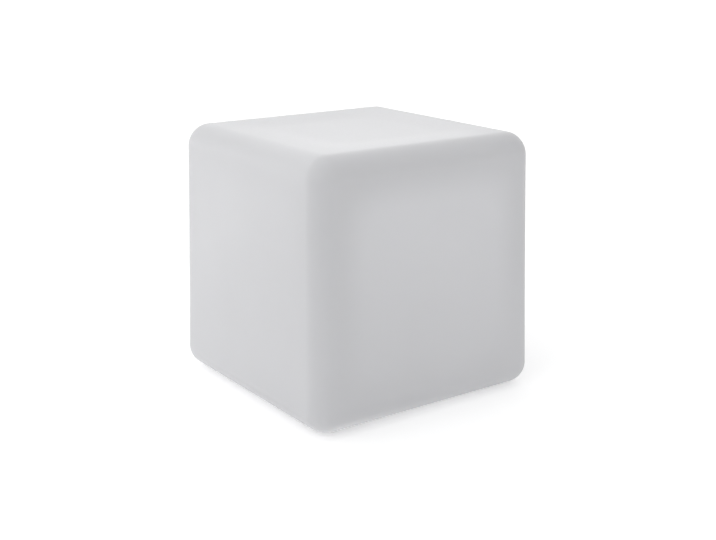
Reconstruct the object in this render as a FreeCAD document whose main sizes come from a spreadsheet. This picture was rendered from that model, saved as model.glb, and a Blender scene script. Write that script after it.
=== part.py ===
"""Cordless glow cube: a rotational-moulded polyethylene cube, lit from inside by a sealed light unit that is screwed into a
recess in its underside.

Frame: millimetres, +Z up, origin on the floor under the middle of the cube, front face towards -Y.
Heights below are above the floor. The cube stands on four thin rubber feet.

Reading order: shell and feet, the tray that closes the underside, the light dome and the boards under it, the battery,
then what is reached from below: power switch, charging socket with its tethered cover, breather vent and status light.
"""

import FreeCAD, Part
import math
import os
import Sketcher

V = FreeCAD.Vector
doc = FreeCAD.newDocument("glow_cube")

# ---------------------------------------------------------------- driving dimensions
CELLS = [
    # shell
    ("base_half", 204.5, "half width of the shell at its base plane, before rounding"),
    ("top_half", 195.5, "half width at the top plane: 1.3 degrees of draft a side"),
    ("body_tall", 398.0, "height of the shell"),
    ("edge_round", 34.0, "radius of all twelve outer edges"),
    ("wall", 3.5, "wall of the shell"),
    ("foot_proud", 2.0, "how far the feet stand out of the shell"),
    ("foot_radius", 11.0, "rubber foot"),
    ("foot_sink", 1.0, "depth of the pocket that a foot is glued into"),
    ("foot_place", 140.0, "foot centres from the middle, along X and Y"),
    ("recess_radius", 98.0, "service recess in the underside"),
    ("recess_deep", 24.0, "depth of that recess"),
    ("recess_mouth_round", 5.0, "rounding where the recess meets the base"),
    ("recess_top_round", 4.0, "rounding between the recess wall and its ceiling"),
    ("hole_radius", 70.0, "hole in the ceiling for the light unit"),
    ("boss_radius", 9.0, "moulded boss around a threaded insert"),
    ("boss_top", 41.0, "top of the bosses"),
    ("insert_radius", 4.5, "brass insert, outside"),
    ("insert_long", 12.0, "brass insert, length"),
    ("screw_ring", 84.0, "radius of the ring of base screws"),
    ("screw_count", 6.0, "base screws"),
    # tray
    ("tray_low", 20.0, "underside of the tray"),
    ("flange_thick", 4.0, "flange of the tray"),
    ("flange_radius", 91.0, "flange of the tray"),
    ("floor_thick", 3.0, "floor of the tray"),
    ("cup_outer", 69.0, "cup wall, outside"),
    ("cup_inner", 66.0, "cup wall, inside"),
    ("bead_inner", 70.5, "round bead on the underside of the tray"),
    ("bead_outer", 73.0, "round bead on the underside of the tray"),
    ("bead_tall", 0.8, "round bead on the underside of the tray"),
    ("rim_inner", 57.5, "rim that carries the dome, inside"),
    ("rim_low", 57.0, "underside of that rim"),
    ("rim_top", 64.0, "top of that rim"),
    ("gasket_inner", 71.5, "flat gasket"),
    ("gasket_outer", 77.5, "flat gasket"),
    ("gasket_groove", 1.0, "depth of the groove it lies in"),
    ("base_screw_radius", 2.5, "M5"),
    ("base_screw_long", 16.0, "M5 screw under its head"),
    ("base_head_radius", 4.6, "pan head"),
    ("base_head_tall", 3.0, "pan head"),
    ("washer_radius", 6.0, "sealing washer"),
    ("washer_thick", 1.2, "sealing washer"),
    # dome
    ("dome_crown", 92.0, "top of the dome"),
    ("dome_sphere", 75.2, "outer radius of its spherical part"),
    ("dome_wall", 2.2, "wall of the dome"),
    ("dome_flange", 3.0, "flange of the dome"),
    ("dome_screw_ring", 65.5, "ring of dome screws"),
    ("oring_inner", 59.5, "sealing ring in the rim"),
    ("oring_wide", 2.5, "sealing ring in the rim"),
    ("oring_deep", 2.0, "groove of the sealing ring"),
    # boards
    ("board_radius", 56.0, "both boards, so that they pass through the rim"),
    ("board_thick", 1.6, "both boards"),
    ("control_low", 48.0, "underside of the control board"),
    ("led_low", 62.0, "underside of the LED board"),
    ("post_ring", 50.0, "ring of posts and spacers"),
    ("post_angle", 20.0, "their angle from the X axis"),
    ("post_radius", 4.0, "posts of the tray"),
    ("spacer_flats", 5.5, "brass spacer across flats"),
    ("led_side", 5.0, "LED package"),
    ("led_tall", 1.6, "LED package"),
    ("ring_outer", 40.0, "outer ring of LEDs"),
    ("ring_inner", 20.0, "inner ring of LEDs"),
    # battery
    ("cell_radius", 9.2, "lithium cell"),
    ("cell_long", 65.2, "lithium cell"),
    ("cell_pitch", 18.6, "between the two cells"),
    ("cell_mid_y", 15.0, "middle of the pack"),
    ("wrap_thick", 0.3, "shrink sleeve"),
    ("pad_thick", 1.0, "foam pad"),
    ("strap_wide", 14.0, "strap over the pack"),
    ("strap_thick", 1.5, "strap over the pack"),
    # power switch
    ("switch_x", -24.0, "power switch"),
    ("service_y", -38.0, "row of switch and socket"),
    ("button_radius", 6.0, "button cap"),
    ("button_low", 15.2, "face of the button at rest"),
    ("button_travel", 1.5, "how far it goes in"),
    ("bezel_radius", 9.5, "rim of the switch"),
    ("bezel_low", 17.0, "face of that rim"),
    ("switch_thread", 8.0, "threaded body"),
    ("switch_top", 36.0, "top of the threaded body"),
    ("guide_low", 27.0, "wall that guides the button's stem"),
    ("guide_top", 30.0, "the same wall's other side"),
    ("stem_radius", 3.0, "stem of the button"),
    ("stem_play", 0.08, "running fit of the stem in its guide"),
    ("gap", 0.3, "clearance round the button"),
    ("spring_mid", 4.5, "return spring, mean radius"),
    ("spring_wire", 0.35, "return spring, radius of the wire"),
    # charging socket
    ("socket_x", 24.0, "charging socket"),
    ("socket_flange", 6.0, "rim of the socket"),
    ("socket_low", 18.6, "face of that rim"),
    ("socket_thread", 4.5, "threaded body"),
    ("socket_top", 34.0, "top of the threaded body"),
    ("socket_bore", 3.15, "bore for a 5.5 mm plug"),
    ("socket_bore_top", 30.0, "end of that bore"),
    ("pin_radius", 1.05, "2.1 mm centre pin"),
    ("pin_low", 20.8, "tip of the centre pin"),
    ("hinge_x", 31.6, "fold line of the cover's strap"),
    ("strap_low", 17.2, "outer face of the cover's strap, where it folds"),
    ("strap_deep", 1.2, "thickness of that strap"),
    ("cover_radius", 6.6, "cap of the cover"),
    ("cover_low", 16.7, "outer face of the cap"),
    ("cover_gap", 0.1, "between the cap and the socket's rim"),
    ("anchor_x", 37.6, "anchor of the cover"),
    # vent and status light
    ("vent_y", -50.0, "breather vent"),
    ("pipe_y", -29.0, "status light pipe"),
]
sheet = doc.addObject("Spreadsheet::Sheet", "dims")
VALUES = {}
for row, (alias, number, note) in enumerate(CELLS, start=1):
    sheet.set("A%d" % row, alias)
    sheet.set("B%d" % row, str(number))
    sheet.set("C%d" % row, note)
    sheet.setAlias("B%d" % row, alias)
    VALUES[alias] = number
doc.recompute()


class Dim:
    """A number together with the spreadsheet expression that gives it."""

    def __init__(self, text, value):
        self.text, self.value = text, float(value)

    def join(self, other, sign, value):
        other = dim(other)
        return Dim("(%s %s %s)" % (self.text, sign, other.text), value(self.value, other.value))

    def __add__(self, o):
        return self.join(o, "+", lambda a, b: a + b)

    def __sub__(self, o):
        return self.join(o, "-", lambda a, b: a - b)

    def __mul__(self, o):
        return self.join(o, "*", lambda a, b: a * b)

    def __truediv__(self, o):
        return self.join(o, "/", lambda a, b: a / b)

    def __neg__(self):
        return Dim("(-1 * %s)" % self.text, -self.value)


def dim(x):
    return x if isinstance(x, Dim) else Dim(repr(float(x)), x)


def D(alias):
    return Dim("dims.%s" % alias, VALUES[alias])


def bind(obj, prop, value):
    obj.setExpression(prop, dim(value).text)


NODES = []


def node(obj, label):
    """Registers an object as a sub-part; its label names its file."""
    obj.Label = label
    NODES.append(obj)
    return obj


# ---------------------------------------------------------------- helpers for bodies
def origin_feature(body, role):
    return [f for f in body.Origin.OriginFeatures if f.Role == role][0]


def new_body(label, x=0, y=0):
    body = doc.addObject("PartDesign::Body", label)
    body.AllowCompound = True
    if dim(x).value or dim(y).value:
        body.Placement = FreeCAD.Placement(V(dim(x).value, dim(y).value, 0), FreeCAD.Rotation())
        bind(body, ".Placement.Base.x", x)
        bind(body, ".Placement.Base.y", y)
    return node(body, label)


def new_sketch(body, name, plane="XZ_Plane", height=None):
    sk = body.newObject("Sketcher::SketchObject", name)
    sk.AttachmentSupport = (origin_feature(body, plane), [""])
    sk.MapMode = "FlatFace"
    if height is not None:
        sk.AttachmentOffset = FreeCAD.Placement(V(0, 0, dim(height).value), FreeCAD.Rotation())
        bind(sk, ".AttachmentOffset.Base.z", height)
    return sk


def pin_point(sk, geo, pos, x, y):
    """Ties one point of the sketch to the origin by two dimensions."""
    for axis, value, line in (("DistanceX", dim(x), -2), ("DistanceY", dim(y), -1)):
        if abs(value.value) < 1e-9:
            sk.addConstraint(Sketcher.Constraint("PointOnObject", geo, pos, line))
        elif value.value > 0:
            k = sk.addConstraint(Sketcher.Constraint(axis, -1, 1, geo, pos, value.value))
            sk.setExpression("Constraints[%d]" % k, value.text)
        else:
            k = sk.addConstraint(Sketcher.Constraint(axis, geo, pos, -1, 1, -value.value))
            sk.setExpression("Constraints[%d]" % k, (-value).text)


def polygon(sk, points):
    """Adds a closed outline whose corners are dimensioned from the origin."""
    first = sk.GeometryCount
    n = len(points)
    for i in range(n):
        (x0, y0), (x1, y1) = points[i], points[(i + 1) % n]
        sk.addGeometry(
            Part.LineSegment(V(dim(x0).value, dim(y0).value, 0), V(dim(x1).value, dim(y1).value, 0)), False
        )
    for i in range(n):
        sk.addConstraint(Sketcher.Constraint("Coincident", first + i, 2, first + (i + 1) % n, 1))
    for i, (x, y) in enumerate(points):
        pin_point(sk, first + i, 1, x, y)
    return sk


def circle(sk, radius, x=0, y=0):
    radius = dim(radius)
    g = sk.addGeometry(Part.Circle(V(dim(x).value, dim(y).value, 0), V(0, 0, 1), radius.value), False)
    if abs(dim(x).value) < 1e-9 and abs(dim(y).value) < 1e-9:
        sk.addConstraint(Sketcher.Constraint("Coincident", g, 3, -1, 1))
    else:
        pin_point(sk, g, 3, x, y)
    k = sk.addConstraint(Sketcher.Constraint("Radius", g, radius.value))
    sk.setExpression("Constraints[%d]" % k, radius.text)
    return sk


def revolve(body, name, points):
    """Turns an outline in the XZ plane round the body's own vertical axis."""
    sk = polygon(new_sketch(body, name + "_outline"), points)
    doc.recompute()
    f = body.newObject("PartDesign::Revolution", name)
    f.Profile = sk
    f.ReferenceAxis = (sk, ["V_Axis"])
    f.Angle = 360
    doc.recompute()
    return f


def pad(body, name, sk, tall):
    doc.recompute()
    f = body.newObject("PartDesign::Pad", name)
    f.Profile = sk
    f.Length = dim(tall).value
    bind(f, "Length", tall)
    doc.recompute()
    return f


def pocket(body, name, sk, deep):
    """Cuts upwards from the sketch, and stops if nothing was cut."""
    doc.recompute()
    before = body.Shape.Volume
    f = body.newObject("PartDesign::Pocket", name)
    f.Profile = sk
    f.Length = dim(deep).value
    f.Reversed = True
    bind(f, "Length", deep)
    doc.recompute()
    if not body.Shape.Volume < before - 1e-6:
        raise SystemExit("%s cuts nothing" % name)
    return f


def turned_copies(body, name, features, count):
    f = body.newObject("PartDesign::PolarPattern", name)
    f.Originals = features
    f.Axis = (origin_feature(body, "Z_Axis"), [""])
    f.Angle = 360
    f.Occurrences = int(dim(count).value)
    bind(f, "Occurrences", count)
    body.Tip = f
    doc.recompute()
    return f


def edges_where(shape, test):
    return ["Edge%d" % (i + 1) for i, e in enumerate(shape.Edges) if test(e)]


def level_circle(e):
    """True for a circle that lies in a level plane. The pole of a sphere has no curve at all."""
    if e.Degenerated:
        return False
    return e.Curve.TypeId == "Part::GeomCircle" and e.BoundBox.ZLength < 1e-4


def upright_circle(e):
    return not e.Degenerated and e.Curve.TypeId == "Part::GeomCircle" and e.BoundBox.XLength < 1e-4


def ring_edge(z, radius):
    """Picks a level circle at that height and radius."""

    def test(e):
        return level_circle(e) and abs(e.Curve.Radius - radius) < 1e-4 and abs(e.CenterOfMass.z - z) < 1e-4

    return test


def round_edges(body, name, base, edges, radius):
    if not edges:
        raise SystemExit("%s found no edge" % name)
    f = body.newObject("PartDesign::Fillet", name)
    f.Base = (base, edges)
    f.Radius = dim(radius).value
    bind(f, "Radius", radius)
    body.Tip = f
    doc.recompute()
    return f


def bevel_edges(body, name, base, edges, size):
    if not edges:
        raise SystemExit("%s found no edge" % name)
    f = body.newObject("PartDesign::Chamfer", name)
    f.Base = (base, edges)
    f.Size = dim(size).value
    bind(f, "Size", size)
    body.Tip = f
    doc.recompute()
    return f


def ring(label, inner, outer, low, high, x=0, y=0):
    body = new_body(label, x, y)
    revolve(body, label + "_turned", [(inner, low), (outer, low), (outer, high), (inner, high)])
    return body


def hex_points(flats):
    k = 1 / math.sqrt(3)
    flats = dim(flats)
    return [
        (flats * k, 0),
        (flats * (k / 2), flats * 0.5),
        (-(flats * (k / 2)), flats * 0.5),
        (-(flats * k), 0),
        (-(flats * (k / 2)), -(flats * 0.5)),
        (flats * (k / 2), -(flats * 0.5)),
    ]


# ---------------------------------------------------------------- helpers for primitives
def cylinder(name, radius, low, high, x=0, y=0):
    c = doc.addObject("Part::Cylinder", name)
    bind(c, "Radius", radius)
    bind(c, "Height", dim(high) - dim(low))
    c.Placement = FreeCAD.Placement(V(dim(x).value, dim(y).value, dim(low).value), FreeCAD.Rotation())
    bind(c, ".Placement.Base.x", x)
    bind(c, ".Placement.Base.y", y)
    bind(c, ".Placement.Base.z", low)
    return c


def block(name, low, high):
    """A box between two corners."""
    b = doc.addObject("Part::Box", name)
    for prop, axis, i in (("Length", "x", 0), ("Width", "y", 1), ("Height", "z", 2)):
        bind(b, prop, dim(high[i]) - dim(low[i]))
        bind(b, ".Placement.Base." + axis, low[i])
    return b


def wedge(name, half_low, half_high, low, high):
    """A four-sided block with the same draft on each side."""
    w = doc.addObject("Part::Wedge", name)
    bind(w, "Xmin", -dim(half_low))
    bind(w, "Xmax", half_low)
    bind(w, "Zmin", -dim(half_low))
    bind(w, "Zmax", half_low)
    bind(w, "X2min", -dim(half_high))
    bind(w, "X2max", half_high)
    bind(w, "Z2min", -dim(half_high))
    bind(w, "Z2max", half_high)
    bind(w, "Ymin", low)
    bind(w, "Ymax", high)
    w.Placement = FreeCAD.Placement(V(0, 0, 0), FreeCAD.Rotation(V(1, 0, 0), 90))
    return w


def rounded(name, base, radius, test=None):
    doc.recompute()
    f = doc.addObject("Part::Fillet", name)
    f.Base = base
    r = dim(radius).value
    picked = [i + 1 for i, e in enumerate(base.Shape.Edges) if test is None or test(e)]
    if not picked:
        raise SystemExit("%s found no edge" % name)
    f.Edges = [(i, r, r) for i in picked]
    doc.recompute()
    return f


def cut(name, base, tool):
    c = doc.addObject("Part::Cut", name)
    c.Base, c.Tool = base, tool
    doc.recompute()
    return c


def fuse(name, shapes):
    f = doc.addObject("Part::MultiFuse", name)
    f.Shapes = shapes
    doc.recompute()
    return f


def common(name, a, b):
    f = doc.addObject("Part::Common", name)
    f.Base, f.Tool = a, b
    doc.recompute()
    return f


def group(label, objects):
    """Separate solids that share one node."""
    doc.recompute()
    f = doc.addObject("Part::Compound", label)
    f.Links = objects
    doc.recompute()
    return node(f, label)


def around(ring_radius, angle):
    """A place on a ring, as two dimensions."""
    ring_radius = dim(ring_radius)
    return ring_radius * math.cos(math.radians(angle)), ring_radius * math.sin(math.radians(angle))


# ================================================================ shell
# A tapered block with every edge rounded, hollow, with the service recess pressed up into its underside.
shell_low = D("foot_proud")
shell_top = D("foot_proud") + D("body_tall")
draft = (D("base_half") - D("top_half")) / D("body_tall")

outer_block = wedge("outer_block", D("base_half"), D("top_half"), shell_low, shell_top)
outer_round = rounded("outer_round", outer_block, D("edge_round"))
recess_plug = cylinder("recess_plug", D("recess_radius"), shell_low - 6, shell_low + D("recess_deep"))
recess_form = rounded(
    "recess_form",
    recess_plug,
    D("recess_top_round"),
    lambda e: level_circle(e) and e.CenterOfMass.z > 20,
)
outer_recessed = cut("outer_recessed", outer_round, recess_form)
outer_skin = rounded(
    "outer_skin", outer_recessed, D("recess_mouth_round"), ring_edge(VALUES["foot_proud"], VALUES["recess_radius"])
)

cavity_block = wedge(
    "cavity_block",
    D("base_half") - draft * D("wall") - D("wall"),
    D("top_half") + draft * D("wall") - D("wall"),
    shell_low + D("wall"),
    shell_top - D("wall"),
)
cavity_round = rounded("cavity_round", cavity_block, D("edge_round") - D("wall"))
ceiling = shell_low + D("recess_deep")
island_plug = cylinder("island_plug", D("recess_radius") + D("wall"), 0, ceiling + D("wall"))
island = rounded(
    "island",
    island_plug,
    D("recess_top_round") + D("wall"),
    lambda e: level_circle(e) and e.CenterOfMass.z > 20,
)
SCREW_ANGLES = [30 + 60 * i for i in range(int(VALUES["screw_count"]))]
bosses = []
for i, a in enumerate(SCREW_ANGLES):
    x, y = around(D("screw_ring"), a)
    bosses.append(cylinder("boss_%d" % i, D("boss_radius"), shell_low + D("wall"), D("boss_top"), x, y))
cavity = cut("cavity", cavity_round, fuse("island_and_bosses", [island] + bosses))
hollow_shell = cut("hollow_shell", outer_skin, cavity)

openings = [cylinder("light_unit_hole", D("hole_radius"), 10, 50)]
for i, a in enumerate(SCREW_ANGLES):
    x, y = around(D("screw_ring"), a)
    openings.append(cylinder("insert_seat_%d" % i, D("insert_radius"), 10, ceiling + D("insert_long"), x, y))
FOOT_SIGNS = [(1, 1), (-1, 1), (-1, -1), (1, -1)]
for i, (sx, sy) in enumerate(FOOT_SIGNS):
    openings.append(
        cylinder(
            "foot_pocket_%d" % i,
            D("foot_radius") + 0.2,
            -5,
            shell_low + D("foot_sink"),
            D("foot_place") * sx,
            D("foot_place") * sy,
        )
    )
shell = node(cut("shell_cut", hollow_shell, fuse("shell_openings", openings)), "shell")

# Four rubber feet, glued into pockets near the corners.
feet = []
for i, (sx, sy) in enumerate(FOOT_SIGNS):
    disc = cylinder(
        "foot_disc_%d" % i,
        D("foot_radius"),
        0,
        D("foot_proud") + D("foot_sink"),
        D("foot_place") * sx,
        D("foot_place") * sy,
    )
    feet.append(
        rounded("foot_%d" % i, disc, 1.0, lambda e: level_circle(e) and e.CenterOfMass.z < 0.5)
    )
group("rubber_feet", feet)

# Brass inserts moulded into the bosses. Their thread is a plain bore.
b = new_body("threaded_inserts")
x, y = around(D("screw_ring"), SCREW_ANGLES[0])
sk = circle(new_sketch(b, "insert_outline", "XY_Plane", ceiling), D("insert_radius"), x, y)
f = pad(b, "insert_barrel", sk, D("insert_long"))
sk = circle(new_sketch(b, "insert_thread", "XY_Plane", ceiling), D("base_screw_radius"), x, y)
g = pocket(b, "insert_bore", sk, D("insert_long") - 1.5)
turned_copies(b, "six_inserts", [f, g], D("screw_count"))

# ================================================================ tray
tray_low = D("tray_low")
flange_top = tray_low + D("flange_thick")
floor_top = tray_low + D("floor_thick")
tray = new_body("base_tray")
f = revolve(
    tray,
    "tray_turned",
    [
        (0, tray_low),
        (D("bead_inner"), tray_low),
        (D("bead_inner"), tray_low - D("bead_tall")),
        (D("bead_outer"), tray_low - D("bead_tall")),
        (D("bead_outer"), tray_low),
        (D("flange_radius"), tray_low),
        (D("flange_radius"), flange_top),
        (D("gasket_outer"), flange_top),
        (D("gasket_outer"), flange_top - D("gasket_groove")),
        (D("gasket_inner"), flange_top - D("gasket_groove")),
        (D("gasket_inner"), flange_top),
        (D("cup_outer"), flange_top),
        (D("cup_outer"), D("rim_top")),
        (D("oring_inner") + D("oring_wide"), D("rim_top")),
        (D("oring_inner") + D("oring_wide"), D("rim_top") - D("oring_deep")),
        (D("oring_inner"), D("rim_top") - D("oring_deep")),
        (D("oring_inner"), D("rim_top")),
        (D("rim_inner"), D("rim_top")),
        (D("rim_inner"), D("rim_low") + 2),
        (D("cup_inner"), D("rim_low") - 6),
        (D("cup_inner"), floor_top),
        (0, floor_top),
    ],
)
f = round_edges(
    tray, "flange_edge", f, edges_where(tray.Shape, ring_edge(VALUES["tray_low"], VALUES["flange_radius"])), 1.5
)
bead_low = VALUES["tray_low"] - VALUES["bead_tall"]
f = round_edges(
    tray,
    "bead_round",
    f,
    edges_where(
        tray.Shape,
        lambda e: ring_edge(bead_low, VALUES["bead_inner"])(e) or ring_edge(bead_low, VALUES["bead_outer"])(e),
    ),
    D("bead_tall") * 0.6,
)
# Six pads carry the flange against the ceiling, so that the gasket is squeezed by a fixed amount.
x, y = around(D("screw_ring"), SCREW_ANGLES[0])
sk = circle(new_sketch(tray, "stop_pad_outline", "XY_Plane", flange_top), 6.5, x, y)
p1 = pad(tray, "stop_pad", sk, ceiling - flange_top)
sk = circle(new_sketch(tray, "screw_hole_outline", "XY_Plane", tray_low - 1), D("base_screw_radius") + 0.4, x, y)
p2 = pocket(tray, "screw_hole", sk, ceiling - tray_low + 2)
turned_copies(tray, "six_screw_holes", [p1, p2], D("screw_count"))
# Between the screws, radial ribs on the flange reach almost to the ceiling.
sk = polygon(
    new_sketch(tray, "rib_outline", "XY_Plane", flange_top), [(79.5, -1), (90, -1), (90, 1), (79.5, 1)]
)
p3 = pad(tray, "rib", sk, 1.6)
turned_copies(tray, "six_ribs", [p3], 6)
# Posts for the control board, and two for the battery strap.
sk = new_sketch(tray, "post_outline", "XY_Plane", floor_top)
POST_ANGLES = [VALUES["post_angle"], 180 - VALUES["post_angle"], 180 + VALUES["post_angle"], 360 - VALUES["post_angle"]]
POSTS = [around(D("post_ring"), a) for a in POST_ANGLES]
for x, y in POSTS:
    circle(sk, D("post_radius"), x, y)
pad(tray, "board_posts", sk, D("control_low") - floor_top)
pack_low = floor_top + D("pad_thick")
pack_outer = D("cell_radius") + 0.1 + D("wrap_thick")
pack_top = pack_low + pack_outer * 2
STRAP_Y = [D("cell_mid_y") - 24.0, D("cell_mid_y") + 24.0]
sk = new_sketch(tray, "strap_post_outline", "XY_Plane", floor_top)
for y in STRAP_Y:
    circle(sk, D("post_radius"), 0, y)
pad(tray, "strap_posts", sk, pack_top - floor_top)
# Screw holes in the posts and in the rim.
sk = new_sketch(tray, "post_bore_outline", "XY_Plane", D("control_low") - 9)
for x, y in POSTS:
    circle(sk, 1.5, x, y)
pocket(tray, "post_bores", sk, 12)
sk = new_sketch(tray, "strap_bore_outline", "XY_Plane", pack_top - 9)
for y in STRAP_Y:
    circle(sk, 1.5, 0, y)
pocket(tray, "strap_bores", sk, 12)
x, y = around(D("dome_screw_ring"), 0)
sk = circle(new_sketch(tray, "rim_bore_outline", "XY_Plane", D("rim_top") - 8), 1.5, x, y)
p4 = pocket(tray, "rim_bore", sk, 10)
turned_copies(tray, "six_rim_bores", [p4], D("screw_count"))
# Openings in the floor for what is reached from below.
sk = new_sketch(tray, "service_hole_outline", "XY_Plane", tray_low - 1)
circle(sk, D("switch_thread") + 0.1, D("switch_x"), D("service_y"))
circle(sk, D("socket_thread") + 0.1, D("socket_x"), D("service_y"))
circle(sk, 2.0, D("anchor_x"), D("service_y"))
circle(sk, 4.1, 0, D("vent_y"))
circle(sk, 1.8, 0, D("pipe_y"))
pocket(tray, "service_holes", sk, D("floor_thick") + 2)

ring("base_gasket", D("gasket_inner"), D("gasket_outer"), flange_top - D("gasket_groove"), ceiling)

b = new_body("base_washers")
x, y = around(D("screw_ring"), SCREW_ANGLES[0])
sk = new_sketch(b, "washer_outline", "XY_Plane", tray_low - D("washer_thick"))
circle(sk, D("washer_radius"), x, y)
circle(sk, D("base_screw_radius") + 0.2, x, y)
f = pad(b, "washer", sk, D("washer_thick"))
turned_copies(b, "six_washers", [f], D("screw_count"))


def screws(label, places, head_low, head_radius, head_tall, shank_radius, shank_long, socket, points_down=False):
    """Pan-head screws with a hexagon socket. The head's outer face is at head_low, or at head_low + head_tall if they point down."""
    body = new_body(label)
    head_low, head_tall, shank_long = dim(head_low), dim(head_tall), dim(shank_long)
    sk = new_sketch(body, label + "_head_outline", "XY_Plane", head_low)
    for x, y in places:
        circle(sk, head_radius, x, y)
    head = pad(body, label + "_head", sk, head_tall)
    outer = head_low.value + head_tall.value if points_down else head_low.value
    head = round_edges(
        body,
        label + "_head_round",
        head,
        edges_where(body.Shape, lambda e: level_circle(e) and abs(e.CenterOfMass.z - outer) < 1e-4),
        dim(head_tall) * 0.45,
    )
    low = head_low - shank_long if points_down else head_low + head_tall
    sk = new_sketch(body, label + "_shank_outline", "XY_Plane", low)
    for x, y in places:
        circle(sk, shank_radius, x, y)
    pad(body, label + "_shank", sk, shank_long)
    sk = new_sketch(body, label + "_socket_outline", "XY_Plane", head_low + head_tall * 0.45 if points_down else head_low - 0.5)
    k = 1 / math.sqrt(3)
    for x, y in places:
        x, y = dim(x), dim(y)
        polygon(sk, [(x + dim(px), y + dim(py)) for px, py in hex_points(socket)])
    pocket(body, label + "_socket", sk, head_tall * 0.55 + 0.5)
    return body


screws(
    "base_screws",
    [around(D("screw_ring"), a) for a in SCREW_ANGLES],
    tray_low - D("washer_thick") - D("base_head_tall"),
    D("base_head_radius"),
    D("base_head_tall"),
    D("base_screw_radius") - 0.05,
    D("base_screw_long"),
    3.0,
)

# ================================================================ dome and LED board
sphere_z = D("dome_crown") - D("dome_sphere")


def ball(name, radius):
    s = doc.addObject("Part::Sphere", name)
    bind(s, "Radius", radius)
    s.Placement = FreeCAD.Placement(V(0, 0, sphere_z.value), FreeCAD.Rotation())
    bind(s, ".Placement.Base.z", sphere_z)
    return s


flange_low = D("rim_top")
dome_shell = common(
    "dome_shell",
    cut("dome_ball", ball("dome_ball_outer", D("dome_sphere")), ball("dome_ball_inner", D("dome_sphere") - D("dome_wall"))),
    cylinder("dome_zone", D("cup_outer"), flange_low, D("dome_crown") + 1),
)
dome_plate = cut(
    "dome_plate",
    cylinder("dome_plate_disc", D("cup_outer"), flange_low, flange_low + D("dome_flange")),
    cylinder("dome_plate_hole", 56.5, flange_low - 1, flange_low + D("dome_flange") + 1),
)
dome_holes = []
for i in range(6):
    x, y = around(D("dome_screw_ring"), 60 * i)
    dome_holes.append(cylinder("dome_hole_%d" % i, 1.7, flange_low - 1, flange_low + D("dome_flange") + 1, x, y))
node(cut("dome_cut", fuse("dome_whole", [dome_shell, dome_plate]), fuse("dome_holes", dome_holes)), "light_dome")

b = ring("dome_seal", D("oring_inner"), D("oring_inner") + D("oring_wide"), D("rim_top") - D("oring_deep"), D("rim_top"))
bevel_edges(b, "dome_seal_bevel", b.Tip, edges_where(b.Shape, lambda e: level_circle(e)), 0.4)

screws(
    "dome_screws",
    [around(D("dome_screw_ring"), 60 * i) for i in range(6)],
    flange_low + D("dome_flange"),
    2.7,
    1.8,
    1.45,
    10.5,
    2.0,
    points_down=True,
)

led_board = new_body("led_board")
sk = circle(new_sketch(led_board, "led_board_outline", "XY_Plane", D("led_low")), D("board_radius"))
for x, y in POSTS:
    circle(sk, 1.7, x, y)
pad(led_board, "led_board_plate", sk, D("board_thick"))
led_top = D("led_low") + D("board_thick")


def led_ring(name, ring_radius, count, start):
    """LED packages on a ring, each a small white box with a round cup in its face."""
    packages, domes = [], []
    for i in range(count):
        a = start + 360.0 * i / count
        x, y = around(ring_radius, a)
        half = D("led_side") * 0.5
        body = block("%s_box_%d" % (name, i), (x - half, y - half, led_top), (x + half, y + half, led_top + D("led_tall")))
        cup = cylinder("%s_cup_%d" % (name, i), 1.9, led_top + D("led_tall") * 0.45, led_top + D("led_tall") + 1, x, y)
        packages.append(cut("%s_package_%d" % (name, i), body, cup))
        domes.append(
            cylinder("%s_gel_%d" % (name, i), 1.9, led_top + D("led_tall") * 0.45, led_top + D("led_tall") - 0.15, x, y)
        )
    return packages, domes


outer_leds = led_ring("outer_led", D("ring_outer"), 16, 0.0)
inner_leds = led_ring("inner_led", D("ring_inner"), 8, 22.5)
group("led_packages", outer_leds[0] + inner_leds[0])
group("led_phosphor", outer_leds[1] + inner_leds[1])

# The remote control's receiver sits in the middle of the board, where it sees out through the dome and the shell.
eye = doc.addObject("Part::Sphere", "receiver_eye")
bind(eye, "Radius", 2.4)
bind(eye, ".Placement.Base.z", led_top + 2.4)
node(
    fuse("receiver_whole", [block("receiver_block", (-3.5, -2.8, led_top), (3.5, 2.8, led_top + 2.8)), eye]),
    "remote_receiver",
)

control_top = D("control_low") + D("board_thick")
b = new_body("board_spacers")
sk = new_sketch(b, "spacer_outline", "XY_Plane", control_top)
for x, y in POSTS:
    polygon(sk, [(x + dim(px), y + dim(py)) for px, py in hex_points(D("spacer_flats"))])
pad(b, "spacer_bars", sk, D("led_low") - control_top)
sk = new_sketch(b, "spacer_bore_outline", "XY_Plane", D("led_low") - 6)
for x, y in POSTS:
    circle(sk, 1.5, x, y)
pocket(b, "spacer_bores", sk, 7)
sk = new_sketch(b, "spacer_stud_outline", "XY_Plane", control_top - 8)
for x, y in POSTS:
    circle(sk, 1.45, x, y)
pad(b, "spacer_studs", sk, 8)
screws("led_board_screws", POSTS, led_top, 2.7, 1.8, 1.45, 6.0, 2.0, points_down=True)

# ================================================================ control board
b = new_body("control_board")
sk = circle(new_sketch(b, "control_board_outline", "XY_Plane", D("control_low")), D("board_radius"))
for x, y in POSTS:
    circle(sk, 1.7, x, y)
pad(b, "control_board_plate", sk, D("board_thick"))


def part_on_board(name, x, y, lx, ly, tall):
    return block(name, (x - lx / 2, y - ly / 2, control_top), (x + lx / 2, y + ly / 2, control_top + tall))


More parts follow.
